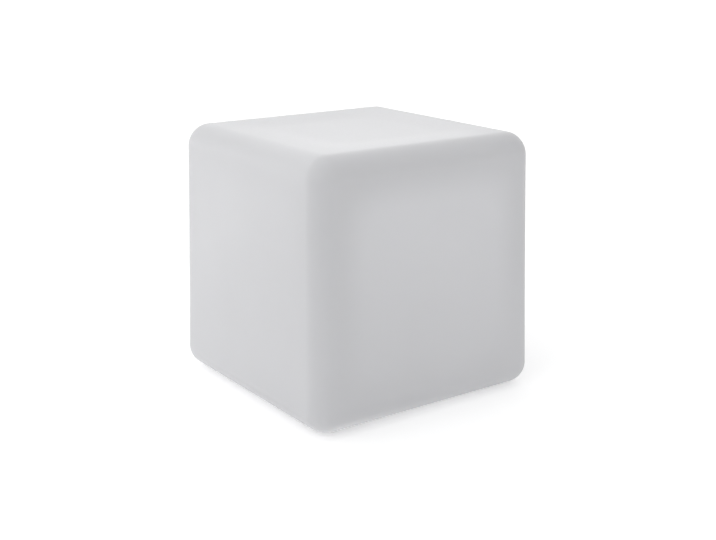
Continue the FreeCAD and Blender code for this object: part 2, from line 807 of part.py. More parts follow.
chips = [
    part_on_board("controller_chip", -14, 8, 9, 9, 1.2),
    part_on_board("charger_chip", 18, -22, 5, 5, 1.0),
    part_on_board("driver_chip_1", 8, 26, 5, 6, 1.5),
    part_on_board("driver_chip_2", -2, 26, 5, 6, 1.5),
    part_on_board("driver_chip_3", -12, 26, 5, 6, 1.5),
    part_on_board("driver_chip_4", -22, 26, 5, 6, 1.5),
    rounded("inductor", part_on_board("inductor_core", 30, -20, 8, 8, 4.2), 1.2, lambda e: e.BoundBox.ZLength > 2),
    cylinder("capacitor_1", 4.0, control_top, control_top + 8.5, 20, -34),
    cylinder("capacitor_2", 4.0, control_top, control_top + 8.5, 30, -34),
    part_on_board("crystal", -26, 6, 3.2, 8, 2.2),
]
group("board_components", chips)
connectors = [
    part_on_board("battery_header", 44, 8, 7, 6, 5.5),
    part_on_board("led_header", -30, 38, 14, 6, 5.5),
]
group("wire_connectors", connectors)


def wire(label, routes, radius):
    """Insulated wires: straight runs joined by tangent arcs, each arc as large as its two runs allow."""
    solids = []
    for route in routes:
        pts = [V(*[dim(c).value for c in p]) for p in route]
        runs = [(pts[i + 1] - pts[i]).Length for i in range(len(pts) - 1)]
        edges, start, radii = [], pts[0], []
        for i in range(1, len(pts) - 1):
            a = (pts[i - 1] - pts[i]).normalize()
            c = (pts[i + 1] - pts[i]).normalize()
            turn = math.pi - a.getAngle(c)
            r = 0.45 * min(runs[i - 1], runs[i]) / math.tan(turn / 2)
            radii.append(r)
            back = r * math.tan(turn / 2)
            p, q = pts[i] + a * back, pts[i] + c * back
            middle = (a + c).normalize()
            centre = pts[i] + middle * (r / math.cos(turn / 2))
            mid = centre - middle * r
            edges.append(Part.LineSegment(start, p).toShape())
            edges.append(Part.Arc(p, mid, q).toShape())
            start = q
        edges.append(Part.LineSegment(start, pts[-1]).toShape())
        path = Part.Wire(edges)
        section = Part.Wire([Part.Circle(pts[0], (pts[1] - pts[0]), radius).toShape()])
        solid = path.makePipeShell([section], True, True)
        expected = math.pi * radius**2 * path.Length
        if abs(solid.Volume - expected) > 0.02 * expected:
            raise SystemExit("%s has the wrong volume" % label)
        print(label, "length", round(path.Length, 1), "radii", [round(r, 1) for r in radii])
        solids.append(solid)
    f = doc.addObject("Part::Feature", label)
    f.Shape = Part.makeCompound(solids)
    f.Placement = FreeCAD.Placement()
    return node(f, label)


# ================================================================ battery
cell_z = pack_low + pack_outer


def lying_cylinder(name, radius, x0, x1, y, z):
    c = doc.addObject("Part::Cylinder", name)
    bind(c, "Radius", radius)
    bind(c, "Height", dim(x1) - dim(x0))
    c.Placement = FreeCAD.Placement(V(dim(x0).value, dim(y).value, dim(z).value), FreeCAD.Rotation(V(0, 1, 0), 90))
    bind(c, ".Placement.Base.x", x0)
    bind(c, ".Placement.Base.y", y)
    bind(c, ".Placement.Base.z", z)
    return c


half_cell = D("cell_long") * 0.5
cells = []
for i, s in enumerate((-1, 1)):
    y = D("cell_mid_y") + D("cell_pitch") * (s * 0.5)
    can = rounded(
        "cell_can_%d" % i, lying_cylinder("cell_blank_%d" % i, D("cell_radius"), -half_cell, half_cell, y, cell_z), 0.7, upright_circle
    )
    # the crimp groove is near the positive end: the two cells lie head to tail
    middle = (half_cell - 4.0) * -s
    groove = cut(
        "cell_groove_%d" % i,
        lying_cylinder("groove_outside_%d" % i, D("cell_radius") + 1, middle - 0.6, middle + 0.6, y, cell_z),
        lying_cylinder("groove_inside_%d" % i, D("cell_radius") - 0.5, middle - 1, middle + 1, y, cell_z),
    )
    cells.append(cut("cell_%d" % i, can, groove))
group("battery_cells", cells)
cell_y = [D("cell_mid_y") - D("cell_pitch") * 0.5, D("cell_mid_y") + D("cell_pitch") * 0.5]
group(
    "cell_tabs",
    [
        block("cell_link", (-half_cell - 0.3, cell_y[0] - 4, cell_z - 4), (-half_cell, cell_y[1] + 4, cell_z + 4)),
        block("cell_tab_0", (half_cell, cell_y[0] - 4, cell_z - 4), (half_cell + 0.3, cell_y[0] + 4, cell_z + 4)),
        block("cell_tab_1", (half_cell, cell_y[1] - 4, cell_z - 4), (half_cell + 0.3, cell_y[1] + 4, cell_z + 4)),
    ],
)


def stadium(name, radius, x0, x1):
    """A bar with round sides, as wide as the two cells side by side."""
    y0 = D("cell_mid_y") - D("cell_pitch") * 0.5
    y1 = D("cell_mid_y") + D("cell_pitch") * 0.5
    return fuse(
        name,
        [
            lying_cylinder(name + "_a", radius, x0, x1, y0, cell_z),
            lying_cylinder(name + "_b", radius, x0, x1, y1, cell_z),
            block(name + "_mid", (x0, y0, cell_z - radius), (x1, y1, cell_z + radius)),
        ],
    )


wrap_half = half_cell - 0.6
node(
    cut(
        "wrap_cut",
        stadium("wrap_outside", pack_outer, -wrap_half, wrap_half),
        stadium("wrap_inside", D("cell_radius") + 0.1, -wrap_half - 1, wrap_half + 1),
    ),
    "battery_sleeve",
)
node(
    block(
        "pad_block",
        (-28, D("cell_mid_y") - 14, floor_top),
        (28, D("cell_mid_y") + 14, pack_low),
    ),
    "battery_pad",
)
strap = new_body("battery_strap")
hs = D("strap_wide") * 0.5
sk = polygon(
    new_sketch(strap, "strap_outline", "XY_Plane", pack_top),
    [(-hs, STRAP_Y[0] - 6), (hs, STRAP_Y[0] - 6), (hs, STRAP_Y[1] + 6), (-hs, STRAP_Y[1] + 6)],
)
f = pad(strap, "strap_bar", sk, D("strap_thick"))
round_edges(strap, "strap_corners", f, edges_where(strap.Shape, lambda e: abs(e.BoundBox.ZLength - VALUES["strap_thick"]) < 1e-6), 4.0)
sk = new_sketch(strap, "strap_hole_outline", "XY_Plane", pack_top - 1)
for y in STRAP_Y:
    circle(sk, 1.7, 0, y)
pocket(strap, "strap_holes", sk, D("strap_thick") + 2)
screws("strap_screws", [(0, y) for y in STRAP_Y], pack_top + D("strap_thick"), 2.7, 1.8, 1.45, 8.0, 2.0, points_down=True)

# ================================================================ power switch
sx, sy = D("switch_x"), D("service_y")
body_bore = D("button_radius") + D("gap")
seal_low = tray_low - 0.8
b = new_body("switch_body", sx, sy)
f = revolve(
    b,
    "switch_body_turned",
    [
        (body_bore, D("bezel_low")),
        (D("bezel_radius"), D("bezel_low")),
        (D("bezel_radius"), seal_low),
        (D("switch_thread"), seal_low),
        (D("switch_thread"), D("switch_top")),
        (6.0, D("switch_top")),
        (6.0, D("guide_top")),
        (D("stem_radius") + D("stem_play"), D("guide_top")),
        (D("stem_radius") + D("stem_play"), D("guide_low")),
        (body_bore, D("guide_low")),
    ],
)
round_edges(b, "switch_bezel_round", f, edges_where(b.Shape, ring_edge(VALUES["bezel_low"], VALUES["bezel_radius"])), 1.0)
ring("switch_seal", D("switch_thread"), D("bezel_radius") - 0.4, seal_low, tray_low, sx, sy)

b = new_body("switch_nut", sx, sy)
sk = polygon(new_sketch(b, "switch_nut_outline", "XY_Plane", floor_top), hex_points(19.0))
f = pad(b, "switch_nut_block", sk, 3.5)
sk = circle(new_sketch(b, "switch_nut_thread", "XY_Plane", floor_top - 1), D("switch_thread"))
pocket(b, "switch_nut_bore", sk, 6)

b = new_body("switch_rear_cover", sx, sy)
sk = circle(new_sketch(b, "rear_cover_outline", "XY_Plane", D("switch_top")), D("switch_thread"))
for s in (-1, 1):
    polygon(
        sk,
        [(3.0 * s - 1.3, -0.5), (3.0 * s + 1.3, -0.5), (3.0 * s + 1.3, 0.5), (3.0 * s - 1.3, 0.5)],
    )
pad(b, "rear_cover_disc", sk, 2.0)

b = new_body("switch_terminals", sx, sy)
sk = new_sketch(b, "terminal_outline", "XY_Plane", 34.2)
for s in (-1, 1):
    polygon(
        sk,
        [(3.0 * s - 1.3, -0.4), (3.0 * s + 1.3, -0.4), (3.0 * s + 1.3, 0.4), (3.0 * s - 1.3, 0.4)],
    )
pad(b, "terminal_blades", sk, 8.3)

# The button: a cap that stands out of the bezel, a shoulder for the spring, and a stem through the guide.
b = new_body("power_button", sx, sy)
f = revolve(
    b,
    "button_turned",
    [
        (0, D("button_low")),
        (D("button_radius"), D("button_low")),
        (D("button_radius"), 20.5),
        (D("stem_radius"), 20.5),
        (D("stem_radius"), 30.2),
        (2.3, 30.2),
        (2.3, 31.1),
        (D("stem_radius") - 0.2, 31.1),
        (D("stem_radius") - 0.2, 31.8),
        (0, 31.8),
    ],
)
round_edges(b, "button_face_round", f, edges_where(b.Shape, ring_edge(VALUES["button_low"], VALUES["button_radius"])), 1.2)
ring("button_clip", 2.3, 4.6, 30.25, 31.05, sx, sy)

# Return spring: four turns between the shoulder of the button and the guide.
spring_low, spring_high = 20.5 + VALUES["spring_wire"], VALUES["guide_low"] - VALUES["spring_wire"]
coil = Part.makeHelix((spring_high - spring_low) / 4.0, spring_high - spring_low, VALUES["spring_mid"])
coil_section = Part.Wire([Part.Circle(V(VALUES["spring_mid"], 0, 0), V(0, 1, 0), VALUES["spring_wire"]).toShape()])
spring = doc.addObject("Part::Feature", "return_spring")
spring.Shape = Part.Wire(coil.Edges).makePipeShell([coil_section], True, True)
spring.Placement = FreeCAD.Placement(V(sx.value, sy.value, spring_low), FreeCAD.Rotation())
node(spring, "switch_spring")

# ================================================================ charging socket and its cover
jx = D("socket_x")
b = new_body("charge_socket", jx, sy)
jack_seal_low = tray_low - 0.6
f = revolve(
    b,
    "socket_turned",
    [
        (D("socket_bore"), D("socket_low")),
        (D("socket_flange"), D("socket_low")),
        (D("socket_flange"), jack_seal_low),
        (D("socket_thread"), jack_seal_low),
        (D("socket_thread"), D("socket_top")),
        (D("pin_radius"), D("socket_top")),
        (D("pin_radius"), D("socket_bore_top")),
        (D("socket_bore"), D("socket_bore_top")),
    ],
)
# A slot along the bore holds the spring contact.
sk = polygon(
    new_sketch(b, "contact_slot_outline", "XY_Plane", 22.0),
    [(D("socket_bore") - 0.9, -0.8), (D("socket_bore") + 0.9, -0.8), (D("socket_bore") + 0.9, 0.8), (D("socket_bore") - 0.9, 0.8)],
)
pocket(b, "contact_slot", sk, 14.0)
ring("socket_seal", D("socket_thread"), D("socket_flange") - 0.3, jack_seal_low, tray_low, jx, sy)

b = new_body("socket_nut", jx, sy)
sk = polygon(new_sketch(b, "socket_nut_outline", "XY_Plane", floor_top), hex_points(12.0))
pad(b, "socket_nut_block", sk, 2.5)
sk = circle(new_sketch(b, "socket_nut_thread", "XY_Plane", floor_top - 1), D("socket_thread"))
pocket(b, "socket_nut_bore", sk, 5)

b = new_body("socket_pin", jx, sy)
f = revolve(
    b,
    "socket_pin_turned",
    [(0, D("pin_low")), (D("pin_radius"), D("pin_low")), (D("pin_radius"), 39.0), (0, 39.0)],
)
round_edges(b, "socket_pin_tip", f, edges_where(b.Shape, ring_edge(VALUES["pin_low"], VALUES["pin_radius"])), 0.6)

b = new_body("socket_contact", jx, sy)
sk = polygon(
    new_sketch(b, "contact_outline", "XY_Plane", 22.3),
    [(D("socket_bore") + 0.2, -0.7), (D("socket_bore") + 0.8, -0.7), (D("socket_bore") + 0.8, 0.7), (D("socket_bore") + 0.2, 0.7)],
)
pad(b, "contact_blade", sk, 16.7)

# The cover is one silicone moulding. Its anchor is pressed through the tray; the strap folds along its outer face at
# hinge_x, and the cap beyond that line is the part that swings.
strap_half, strap_high = 2.6, D("strap_low") + D("strap_deep")
ax = D("anchor_x")
anchor_disc = rounded(
    "anchor_disc",
    cylinder("anchor_disc_blank", 4.0, D("strap_low"), tray_low, ax, sy),
    0.6,
    lambda e: level_circle(e) and e.CenterOfMass.z < VALUES["strap_low"] + 0.1,
)
anchor_stem = cylinder("anchor_stem", 1.95, tray_low, floor_top, ax, sy)
anchor_head = cylinder("anchor_head", 3.0, floor_top, floor_top + 1.8, ax, sy)
anchor_tongue = block("anchor_tongue", (D("hinge_x") + 0.15, sy - strap_half, D("strap_low")), (ax, sy + strap_half, strap_high))
node(fuse("anchor_whole", [anchor_disc, anchor_stem, anchor_head, anchor_tongue]), "port_cover_anchor")

cap_top = D("socket_low") - D("cover_gap")
cap_disc = rounded(
    "cap_disc",
    cylinder("cap_blank", D("cover_radius"), D("cover_low"), cap_top, jx, sy),
    0.5,
    lambda e: level_circle(e) and e.CenterOfMass.z < VALUES["cover_low"] + 0.1,
)
cap_plug = rounded(
    "cap_plug",
    cylinder("cap_plug_blank", D("socket_bore") - 0.5, cap_top - 0.5, cap_top + 1.5, jx, sy),
    0.5,
    lambda e: level_circle(e) and e.CenterOfMass.z > VALUES["socket_low"] + 1,
)
cap_tongue = block("cap_tongue", (jx + 5.0, sy - strap_half, D("strap_low")), (D("hinge_x") - 0.15, sy + strap_half, strap_high))
cap_tab = rounded(
    "cap_tab",
    block("cap_tab_blank", (jx - 8.4, sy - 2.6, D("cover_low") + 0.3), (jx - 5.4, sy + 2.6, cap_top - 0.2)),
    1.2,
    lambda e: e.BoundBox.ZLength > 1 and e.CenterOfMass.x < VALUES["socket_x"] - 8,
)
node(fuse("cap_whole", [cap_disc, cap_plug, cap_tongue, cap_tab]), "port_cover")

# ================================================================ breather vent and status light
vy = D("vent_y")
vent_body = cut(
    "vent_drilled",
    fuse(
        "vent_blank",
        [
            rounded(
                "vent_cap",
                cylinder("vent_cap_blank", 6.5, tray_low - 2.8, tray_low, 0, vy),
                0.8,
                lambda e: level_circle(e) and e.CenterOfMass.z < VALUES["tray_low"] - 2,
            ),
            cylinder("vent_stem", 4.0, tray_low, tray_low + 9.0, 0, vy),
        ],
    ),
    fuse(
        "vent_passages",
        [
            cylinder("vent_bore", 1.6, tray_low - 1.6, tray_low + 10, 0, vy),
            cylinder("vent_chamber", 3.0, tray_low + 6.0, tray_low + 10, 0, vy),
            block("vent_slot_a", (-7, vy - 0.7, tray_low - 1.6), (7, vy + 0.7, tray_low - 0.8)),
            block("vent_slot_b", (-0.7, vy - 7, tray_low - 1.6), (0.7, vy + 7, tray_low - 0.8)),
        ],
    ),
)
node(vent_body, "breather_vent")
node(cylinder("membrane_disc", 2.95, tray_low + 6.0, tray_low + 6.3, 0, vy), "vent_membrane")
b = new_body("vent_nut", 0, vy)
sk = polygon(new_sketch(b, "vent_nut_outline", "XY_Plane", floor_top), hex_points(12.0))
pad(b, "vent_nut_block", sk, 3.0)
sk = circle(new_sketch(b, "vent_nut_thread", "XY_Plane", floor_top - 1), 4.0)
pocket(b, "vent_nut_bore", sk, 6)

b = new_body("status_light_pipe", 0, D("pipe_y"))
f = revolve(
    b,
    "light_pipe_turned",
    [
        (0, tray_low - 0.8),
        (2.8, tray_low - 0.8),
        (2.8, tray_low),
        (1.75, tray_low),
        (1.75, D("control_low") - 1.5),
        (0, D("control_low") - 1.5),
    ],
)
round_edges(b, "light_pipe_face", f, edges_where(b.Shape, ring_edge(VALUES["tray_low"] - 0.8, 2.8)), 0.5)

# ================================================================ wires inside the tray
xs, ys, xj = sx.value, sy.value, jx.value
board = VALUES["control_low"]
wire(
    "switch_leads",
    [
        [(xs - 3, ys, 42.5), (xs - 3, ys, 45.0), (xs - 3, ys + 3.0, 46.0), (xs - 3, ys + 3.0, board)],
        [(xs + 3, ys, 42.5), (xs + 3, ys, 45.0), (xs + 3, ys + 3.0, 46.0), (xs + 3, ys + 3.0, board)],
    ],
    0.65,
)
xc = xj + VALUES["socket_bore"] + 0.5
wire(
    "socket_leads",
    [
        [(xj, ys, 39.0), (xj, ys, 42.0), (xj, ys + 3.5, 44.5), (xj, ys + 3.5, board)],
        [(xc, ys, 39.0), (xc, ys, 42.0), (xc, ys + 3.5, 44.5), (xc, ys + 3.5, board)],
    ],
    0.65,
)
cz = cell_z.value
tab_x = VALUES["cell_long"] / 2 + 0.3
y0, y1 = cell_y[0].value, cell_y[1].value
wire(
    "battery_leads",
    [
        [(tab_x, y0, cz), (37.5, y0, cz), (41.0, y0 + 0.3, cz + 4), (42.5, y0 + 0.8, board - 4), (42.5, y0 + 0.8, board)],
        [(tab_x, y1, cz), (36.5, y1, cz), (39.0, y1 - 5, cz + 3), (40.0, y1 - 11, cz + 6), (42.5, y0 + 5.0, board - 4), (42.5, y0 + 5.0, board)],
    ],
    0.8,
)
led_z = VALUES["led_low"]
wire(
    "led_leads",
    [
        [(-34.5 + 3 * i, 38, control_top.value + 5.5), (-34.5 + 3 * i, 38, control_top.value + 8.2), (-33.5 + 3 * i, 35, led_z - 2.2), (-33.5 + 3 * i, 35, led_z)]
        for i in range(4)
    ],
    0.5,
)

# ================================================================ check and write
doc.recompute()
problems = []
for obj in doc.Objects:
    if "Invalid" in obj.State or "Error" in obj.State:
        problems.append("%s is %s" % (obj.Label, obj.State))
for obj in NODES:
    if obj.Shape.isNull() or not obj.Shape.isValid():
        problems.append("%s has no valid shape" % obj.Label)
    elif not obj.Shape.Solids:
        problems.append("%s has no solid" % obj.Label)
if problems:
    raise SystemExit("\n".join(problems))

os.makedirs("parts", exist_ok=True)
for old in os.listdir("parts"):
    if old.endswith(".step") and old[:-5] not in [o.Label for o in NODES]:
        os.remove(os.path.join("parts", old))
for obj in NODES:
    obj.Shape.exportStep(os.path.join("parts", obj.Label + ".step"))
    print("%-20s %2d solids %10.1f mm3" % (obj.Label, len(obj.Shape.Solids), obj.Shape.Volume))
print(len(NODES), "nodes")
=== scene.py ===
import math

import bmesh
import bpy
import numpy as np
from mathutils import Matrix, Vector, noise


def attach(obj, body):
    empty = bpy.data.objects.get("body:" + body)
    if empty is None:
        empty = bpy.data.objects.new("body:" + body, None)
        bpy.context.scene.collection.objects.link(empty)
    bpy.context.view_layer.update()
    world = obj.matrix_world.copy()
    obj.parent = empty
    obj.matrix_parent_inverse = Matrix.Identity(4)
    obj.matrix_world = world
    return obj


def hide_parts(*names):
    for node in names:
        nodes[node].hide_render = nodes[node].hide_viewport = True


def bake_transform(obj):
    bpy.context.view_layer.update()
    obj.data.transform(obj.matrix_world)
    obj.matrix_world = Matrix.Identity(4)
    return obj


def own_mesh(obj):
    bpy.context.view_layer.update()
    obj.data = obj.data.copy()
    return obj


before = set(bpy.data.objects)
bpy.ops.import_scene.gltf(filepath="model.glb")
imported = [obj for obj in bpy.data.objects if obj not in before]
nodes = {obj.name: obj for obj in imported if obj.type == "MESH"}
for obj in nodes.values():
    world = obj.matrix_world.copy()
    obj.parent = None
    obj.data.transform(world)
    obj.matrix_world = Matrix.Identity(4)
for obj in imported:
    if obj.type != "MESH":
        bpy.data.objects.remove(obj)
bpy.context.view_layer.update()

scene = bpy.context.scene
MM = 0.001


# ---------------------------------------------------------------- camera and studio
def add_object(name, data):
    obj = bpy.data.objects.new(name, data)
    scene.collection.objects.link(obj)
    return obj


# The camera stands a little above the cube, to the left of its front face, and looks slightly down.
CUBE = 0.4
AZIMUTH, DISTANCE, HEIGHT = -0.6156, 4.42, 1.2005  # of the cube's width, from the cube's middle
PITCH, TURN = 0.28, -0.0037
cam_data = bpy.data.cameras.new("camera")
cam_data.sensor_width = 36.0
cam_data.lens = 58.421
camera = add_object("camera", cam_data)
camera.location = (
    math.sin(AZIMUTH) * DISTANCE * CUBE,
    -math.cos(AZIMUTH) * DISTANCE * CUBE,
    0.201 + HEIGHT * CUBE,
)
yaw = AZIMUTH + TURN
look = Vector((-math.sin(yaw) * math.cos(PITCH), math.cos(yaw) * math.cos(PITCH), -math.sin(PITCH)))
camera.rotation_euler = look.to_track_quat("-Z", "Y").to_euler()
scene.camera = camera

scene.view_settings.view_transform = "Standard"
scene.view_settings.look = "None"
scene.cycles.use_denoising = True


def area_light(name, place, target, size, power, colour=(1, 1, 1)):
    data = bpy.data.lights.new(name, "AREA")
    data.shape = "RECTANGLE"
    data.size, data.size_y = size
    data.energy = power
    data.color = colour
    obj = add_object(name, data)
    obj.location = place
    obj.rotation_euler = (Vector(target) - Vector(place)).to_track_quat("-Z", "Y").to_euler()
    return obj


def studio_world(everywhere, panels):
    """A light tent: dim cloth all round, with brighter panels. Each covers 120 degrees of the horizon and fades to its sides,
    and is either low, fading upward from the floor, or at mid height. The camera itself sees a white backdrop all round."""
    world = bpy.data.worlds.new("studio")
    world.use_nodes = True
    tree = world.node_tree
    back = tree.nodes["Background"]

    def math_of(operation, a, b=None, clamp=False):
        n = tree.nodes.new("ShaderNodeMath")
        n.operation = operation
        n.use_clamp = clamp
        for i, value in enumerate((a, b)):
            if isinstance(value, (int, float)):
                n.inputs[i].default_value = value
            elif value is not None:
                tree.links.new(value, n.inputs[i])
        return n.outputs[0]

    direction = tree.nodes.new("ShaderNodeTexCoord")
    parts = tree.nodes.new("ShaderNodeSeparateXYZ")
    tree.links.new(direction.outputs["Generated"], parts.inputs[0])
    x, y, z = parts.outputs[0], parts.outputs[1], parts.outputs[2]
    flat = math_of("SQRT", math_of("ADD", math_of("MULTIPLY", x, x), math_of("MULTIPLY", y, y)))
    flat = math_of("MAXIMUM", flat, 0.001)
    low = math_of("SUBTRACT", 1.0, math_of("DIVIDE", z, 0.5), True)
    middle = math_of("SUBTRACT", 1.0, math_of("ABSOLUTE", math_of("DIVIDE", math_of("SUBTRACT", z, 0.5), 0.4)), True)
    total = None
    for azimuth, height, level in panels:
        a = math.radians(azimuth)
        facing = math_of("ADD", math_of("MULTIPLY", x, math.sin(a)), math_of("MULTIPLY", y, -math.cos(a)))
        facing = math_of("MULTIPLY", math_of("SUBTRACT", math_of("DIVIDE", facing, flat), 0.5), 2.0, True)
        one = math_of("MULTIPLY", math_of("MULTIPLY", facing, low if height == "low" else middle), level)
        total = one if total is None else math_of("ADD", total, one)
    above = math_of("GREATER_THAN", z, 0.0)
    lit = math_of("MULTIPLY", math_of("ADD", total, everywhere), above)
    seen = tree.nodes.new("ShaderNodeLightPath")
    level = tree.nodes.new("ShaderNodeMix")
    level.data_type = "FLOAT"
    tree.links.new(seen.outputs["Is Camera Ray"], level.inputs[0])
    tree.links.new(lit, level.inputs[2])
    level.inputs[3].default_value = 1.0
    back.inputs["Color"].default_value = (1.0, 1.0, 1.0, 1.0)
    tree.links.new(level.outputs[0], back.inputs["Strength"])
    scene.world = world


studio_world(
    0.554,
    [
        (180, "low", 0.951),
        (120, "low", 0.366),
        (60, "low", 0.079),
        (-60, "low", 0.400),
        (-120, "low", 0.743),
        (180, "middle", 0.842),
        (120, "middle", 0.537),
        (0, "middle", 0.175),
        (-60, "middle", 0.499),
    ],
)


def wide_light(name, azimuth, elevation, width, strength):
    """A softbox so far away that it lights the whole floor alike. Azimuth 0 is in front of the cube, -90 on its left."""
    data = bpy.data.lights.new(name, "SUN")
    data.energy = strength * math.pi
    data.angle = math.radians(width)
    obj = add_object(name, data)
    a, e = math.radians(azimuth), math.radians(elevation)
    back = Vector((math.sin(a) * math.cos(e), -math.cos(a) * math.cos(e), math.sin(e)))
    obj.rotation_euler = (-back).to_track_quat("-Z", "Y").to_euler()
    return obj


wide_light("left", -90, 50, 70, 0.1385)
near = [
    area_light("top_card", (-0.1, -0.15, 0.8), (0.0, -0.05, 0.4), (0.3, 0.3), 0.330),
    area_light("left_card", (-0.5, 0.6, 0.25), (-0.2, 0.1, 0.2), (0.25, 0.4), 0.241),
    area_light("rear_card", (-0.9, 0.8, 0.4), (-0.2, 0.05, 0.2), (0.6, 0.6), 0.156),
    area_light("front_card", (0.05, -0.75, 0.30), (0.0, -0.2, 0.2), (0.4, 0.4), 0.225),
    area_light("under_floor", (0.0, 0.0, -0.9), (0.0, 0.0, 0.0), (1.6, 1.6), 2.0),
    area_light("under_recess", (0.0, 0.0, -0.3), (0.0, 0.0, 0.0), (0.3, 0.3), 0.7),
]
for lamp in near:
    lamp.visible_camera = False


# ---------------------------------------------------------------- material kit
def new_material(name):
    m = bpy.data.materials.new(name)
    m.use_nodes = True
    return m, m.node_tree, m.node_tree.nodes["Principled BSDF"]


def place_coordinates(tree, stretch=None):
    """Object coordinates in metres, optionally stretched."""
    coord = tree.nodes.new("ShaderNodeTexCoord")
    if stretch is None:
        return coord.outputs["Object"]
    mapping = tree.nodes.new("ShaderNodeMapping")
    mapping.inputs["Scale"].default_value = stretch
    tree.links.new(coord.outputs["Object"], mapping.inputs["Vector"])
    return mapping.outputs["Vector"]


def noise_node(tree, vector, scale, detail=4.0, rough=0.55):
    n = tree.nodes.new("ShaderNodeTexNoise")
    n.inputs["Scale"].default_value = scale
    n.inputs["Detail"].default_value = detail
    n.inputs["Roughness"].default_value = rough
    tree.links.new(vector, n.inputs["Vector"])
    return n.outputs["Fac"]


def ramp(tree, fac, stops):
    r = tree.nodes.new("ShaderNodeValToRGB")
    r.color_ramp.elements[0].position, r.color_ramp.elements[0].color = stops[0][0], (*stops[0][1], 1)
    r.color_ramp.elements[1].position, r.color_ramp.elements[1].color = stops[-1][0], (*stops[-1][1], 1)
    for position, colour in stops[1:-1]:
        e = r.color_ramp.elements.new(position)
        e.color = (*colour, 1)
    tree.links.new(fac, r.inputs["Fac"])
    return r.outputs["Color"]


def spread(tree, fac, low, high, low_in=0.3, high_in=0.7):
    m = tree.nodes.new("ShaderNodeMapRange")
    m.inputs["From Min"].default_value = low_in
    m.inputs["From Max"].default_value = high_in
    m.inputs["To Min"].default_value = low
    m.inputs["To Max"].default_value = high
    tree.links.new(fac, m.inputs["Value"])
    return m.outputs["Result"]


def bump(tree, heights, shader):
    """Chains height fields, each with its depth in metres, into the shader's normal."""
    last = None
    for height, depth in heights:
        b = tree.nodes.new("ShaderNodeBump")
        b.inputs["Strength"].default_value = 1.0
        b.inputs["Distance"].default_value = depth
        tree.links.new(height, b.inputs["Height"])
        if last is not None:
            tree.links.new(last, b.inputs["Normal"])
        last = b.outputs["Normal"]
    tree.links.new(last, shader.inputs["Normal"])


def shade(c, k):
    return tuple(min(1.0, max(0.0, x * k)) for x in c)


def moulded(name, colour, rough=0.45, grain=900.0, depth=0.00003, vary=0.06, ior=1.5, sss=0.0, sss_scale=0.002, alpha_like=None):
    """Injection-moulded plastic or rubber: fine grain, faint clouding, uneven gloss."""
    m, t, p = new_material(name)
    v = place_coordinates(t)
    fine, broad = noise_node(t, v, grain, 3.0), noise_node(t, v, grain * 0.06, 5.0)
    t.links.new(ramp(t, broad, [(0.3, shade(colour, 1 - vary)), (0.7, shade(colour, 1 + vary))]), p.inputs["Base Color"])
    t.links.new(spread(t, broad, rough - 0.06, rough + 0.06), p.inputs["Roughness"])
    bump(t, [(fine, depth), (broad, depth * 2)], p)
    p.inputs["IOR"].default_value = ior
    if sss:
        p.inputs["Subsurface Weight"].default_value = sss
        p.inputs["Subsurface Radius"].default_value = (1.0, 1.0, 1.0)
        p.inputs["Subsurface Scale"].default_value = sss_scale
    return m


def turned_metal(name, colour, rough=0.28, grain=1800.0, depth=0.000012, stretch=(1, 1, 12), tarnish=0.12):
    """Turned or drawn metal: fine parallel tool marks, a little tarnish."""
    m, t, p = new_material(name)
    marks = noise_node(t, place_coordinates(t, stretch), grain, 2.0)
    cloud = noise_node(t, place_coordinates(t), 120.0, 5.0)
    t.links.new(ramp(t, cloud, [(0.3, shade(colour, 1 - tarnish)), (0.7, colour)]), p.inputs["Base Color"])
    t.links.new(spread(t, marks, rough - 0.08, rough + 0.1), p.inputs["Roughness"])
    p.inputs["Metallic"].default_value = 1.0
    bump(t, [(marks, depth)], p)
    return m


def clear_plastic(name, tint=(0.97, 0.985, 1.0), rough=0.03, ior=1.585):
    """Clear moulding with faint flow clouds. Lamps shine through it, as they do through the real one."""
    m, t, p = new_material(name)
    v = place_coordinates(t)
    cloud = noise_node(t, v, 60.0, 4.0)
    ripple = noise_node(t, v, 25.0, 2.0)
    t.links.new(ramp(t, cloud, [(0.3, shade(tint, 0.985)), (0.7, tint)]), p.inputs["Base Color"])
    t.links.new(spread(t, cloud, rough, rough + 0.04), p.inputs["Roughness"])
    p.inputs["IOR"].default_value = ior
    p.inputs["Transmission Weight"].default_value = 1.0
    bump(t, [(ripple, 0.00004)], p)
    clear = t.nodes.new("ShaderNodeBsdfTransparent")
    clear.inputs["Color"].default_value = (0.93, 0.94, 0.95, 1.0)
    path = t.nodes.new("ShaderNodeLightPath")
    mix = t.nodes.new("ShaderNodeMixShader")
    t.links.new(path.outputs["Is Shadow Ray"], mix.inputs[0])
    t.links.new(p.outputs[0], mix.inputs[1])
    t.links.new(clear.outputs[0], mix.inputs[2])
    t.links.new(mix.outputs[0], t.nodes["Material Output"].inputs["Surface"])
    return m


def finish_node(name, material, bevel=None, angle=30.0):
    """Gives a carried-over node its material, and rounds its sharp edges a little."""
    obj = nodes[name]
    obj.data.materials.clear()
    obj.data.materials.append(material)
    if bevel:
        b = obj.modifiers.new("edge_round", "BEVEL")
        b.width = bevel
        b.segments = 2
        b.limit_method = "ANGLE"
        b.angle_limit = math.radians(angle)
        b.use_clamp_overlap = True
        b.harden_normals = False
    return obj


# ---------------------------------------------------------------- milky polyethylene
def math_node(tree, operation, a, b=None, c=None, clamp=False):
    n = tree.nodes.new("ShaderNodeMath")
    n.operation = operation
    n.use_clamp = clamp
    for i, value in enumerate((a, b, c)):
        if value is None:
            continue
        if isinstance(value, (int, float)):
            n.inputs[i].default_value = value
        else:
            tree.links.new(value, n.inputs[i])
    return n.outputs[0]


def xyz(tree, v):
    split = tree.nodes.new("ShaderNodeSeparateXYZ")
    tree.links.new(v, split.inputs[0])
    return split.outputs[0], split.outputs[1], split.outputs[2]


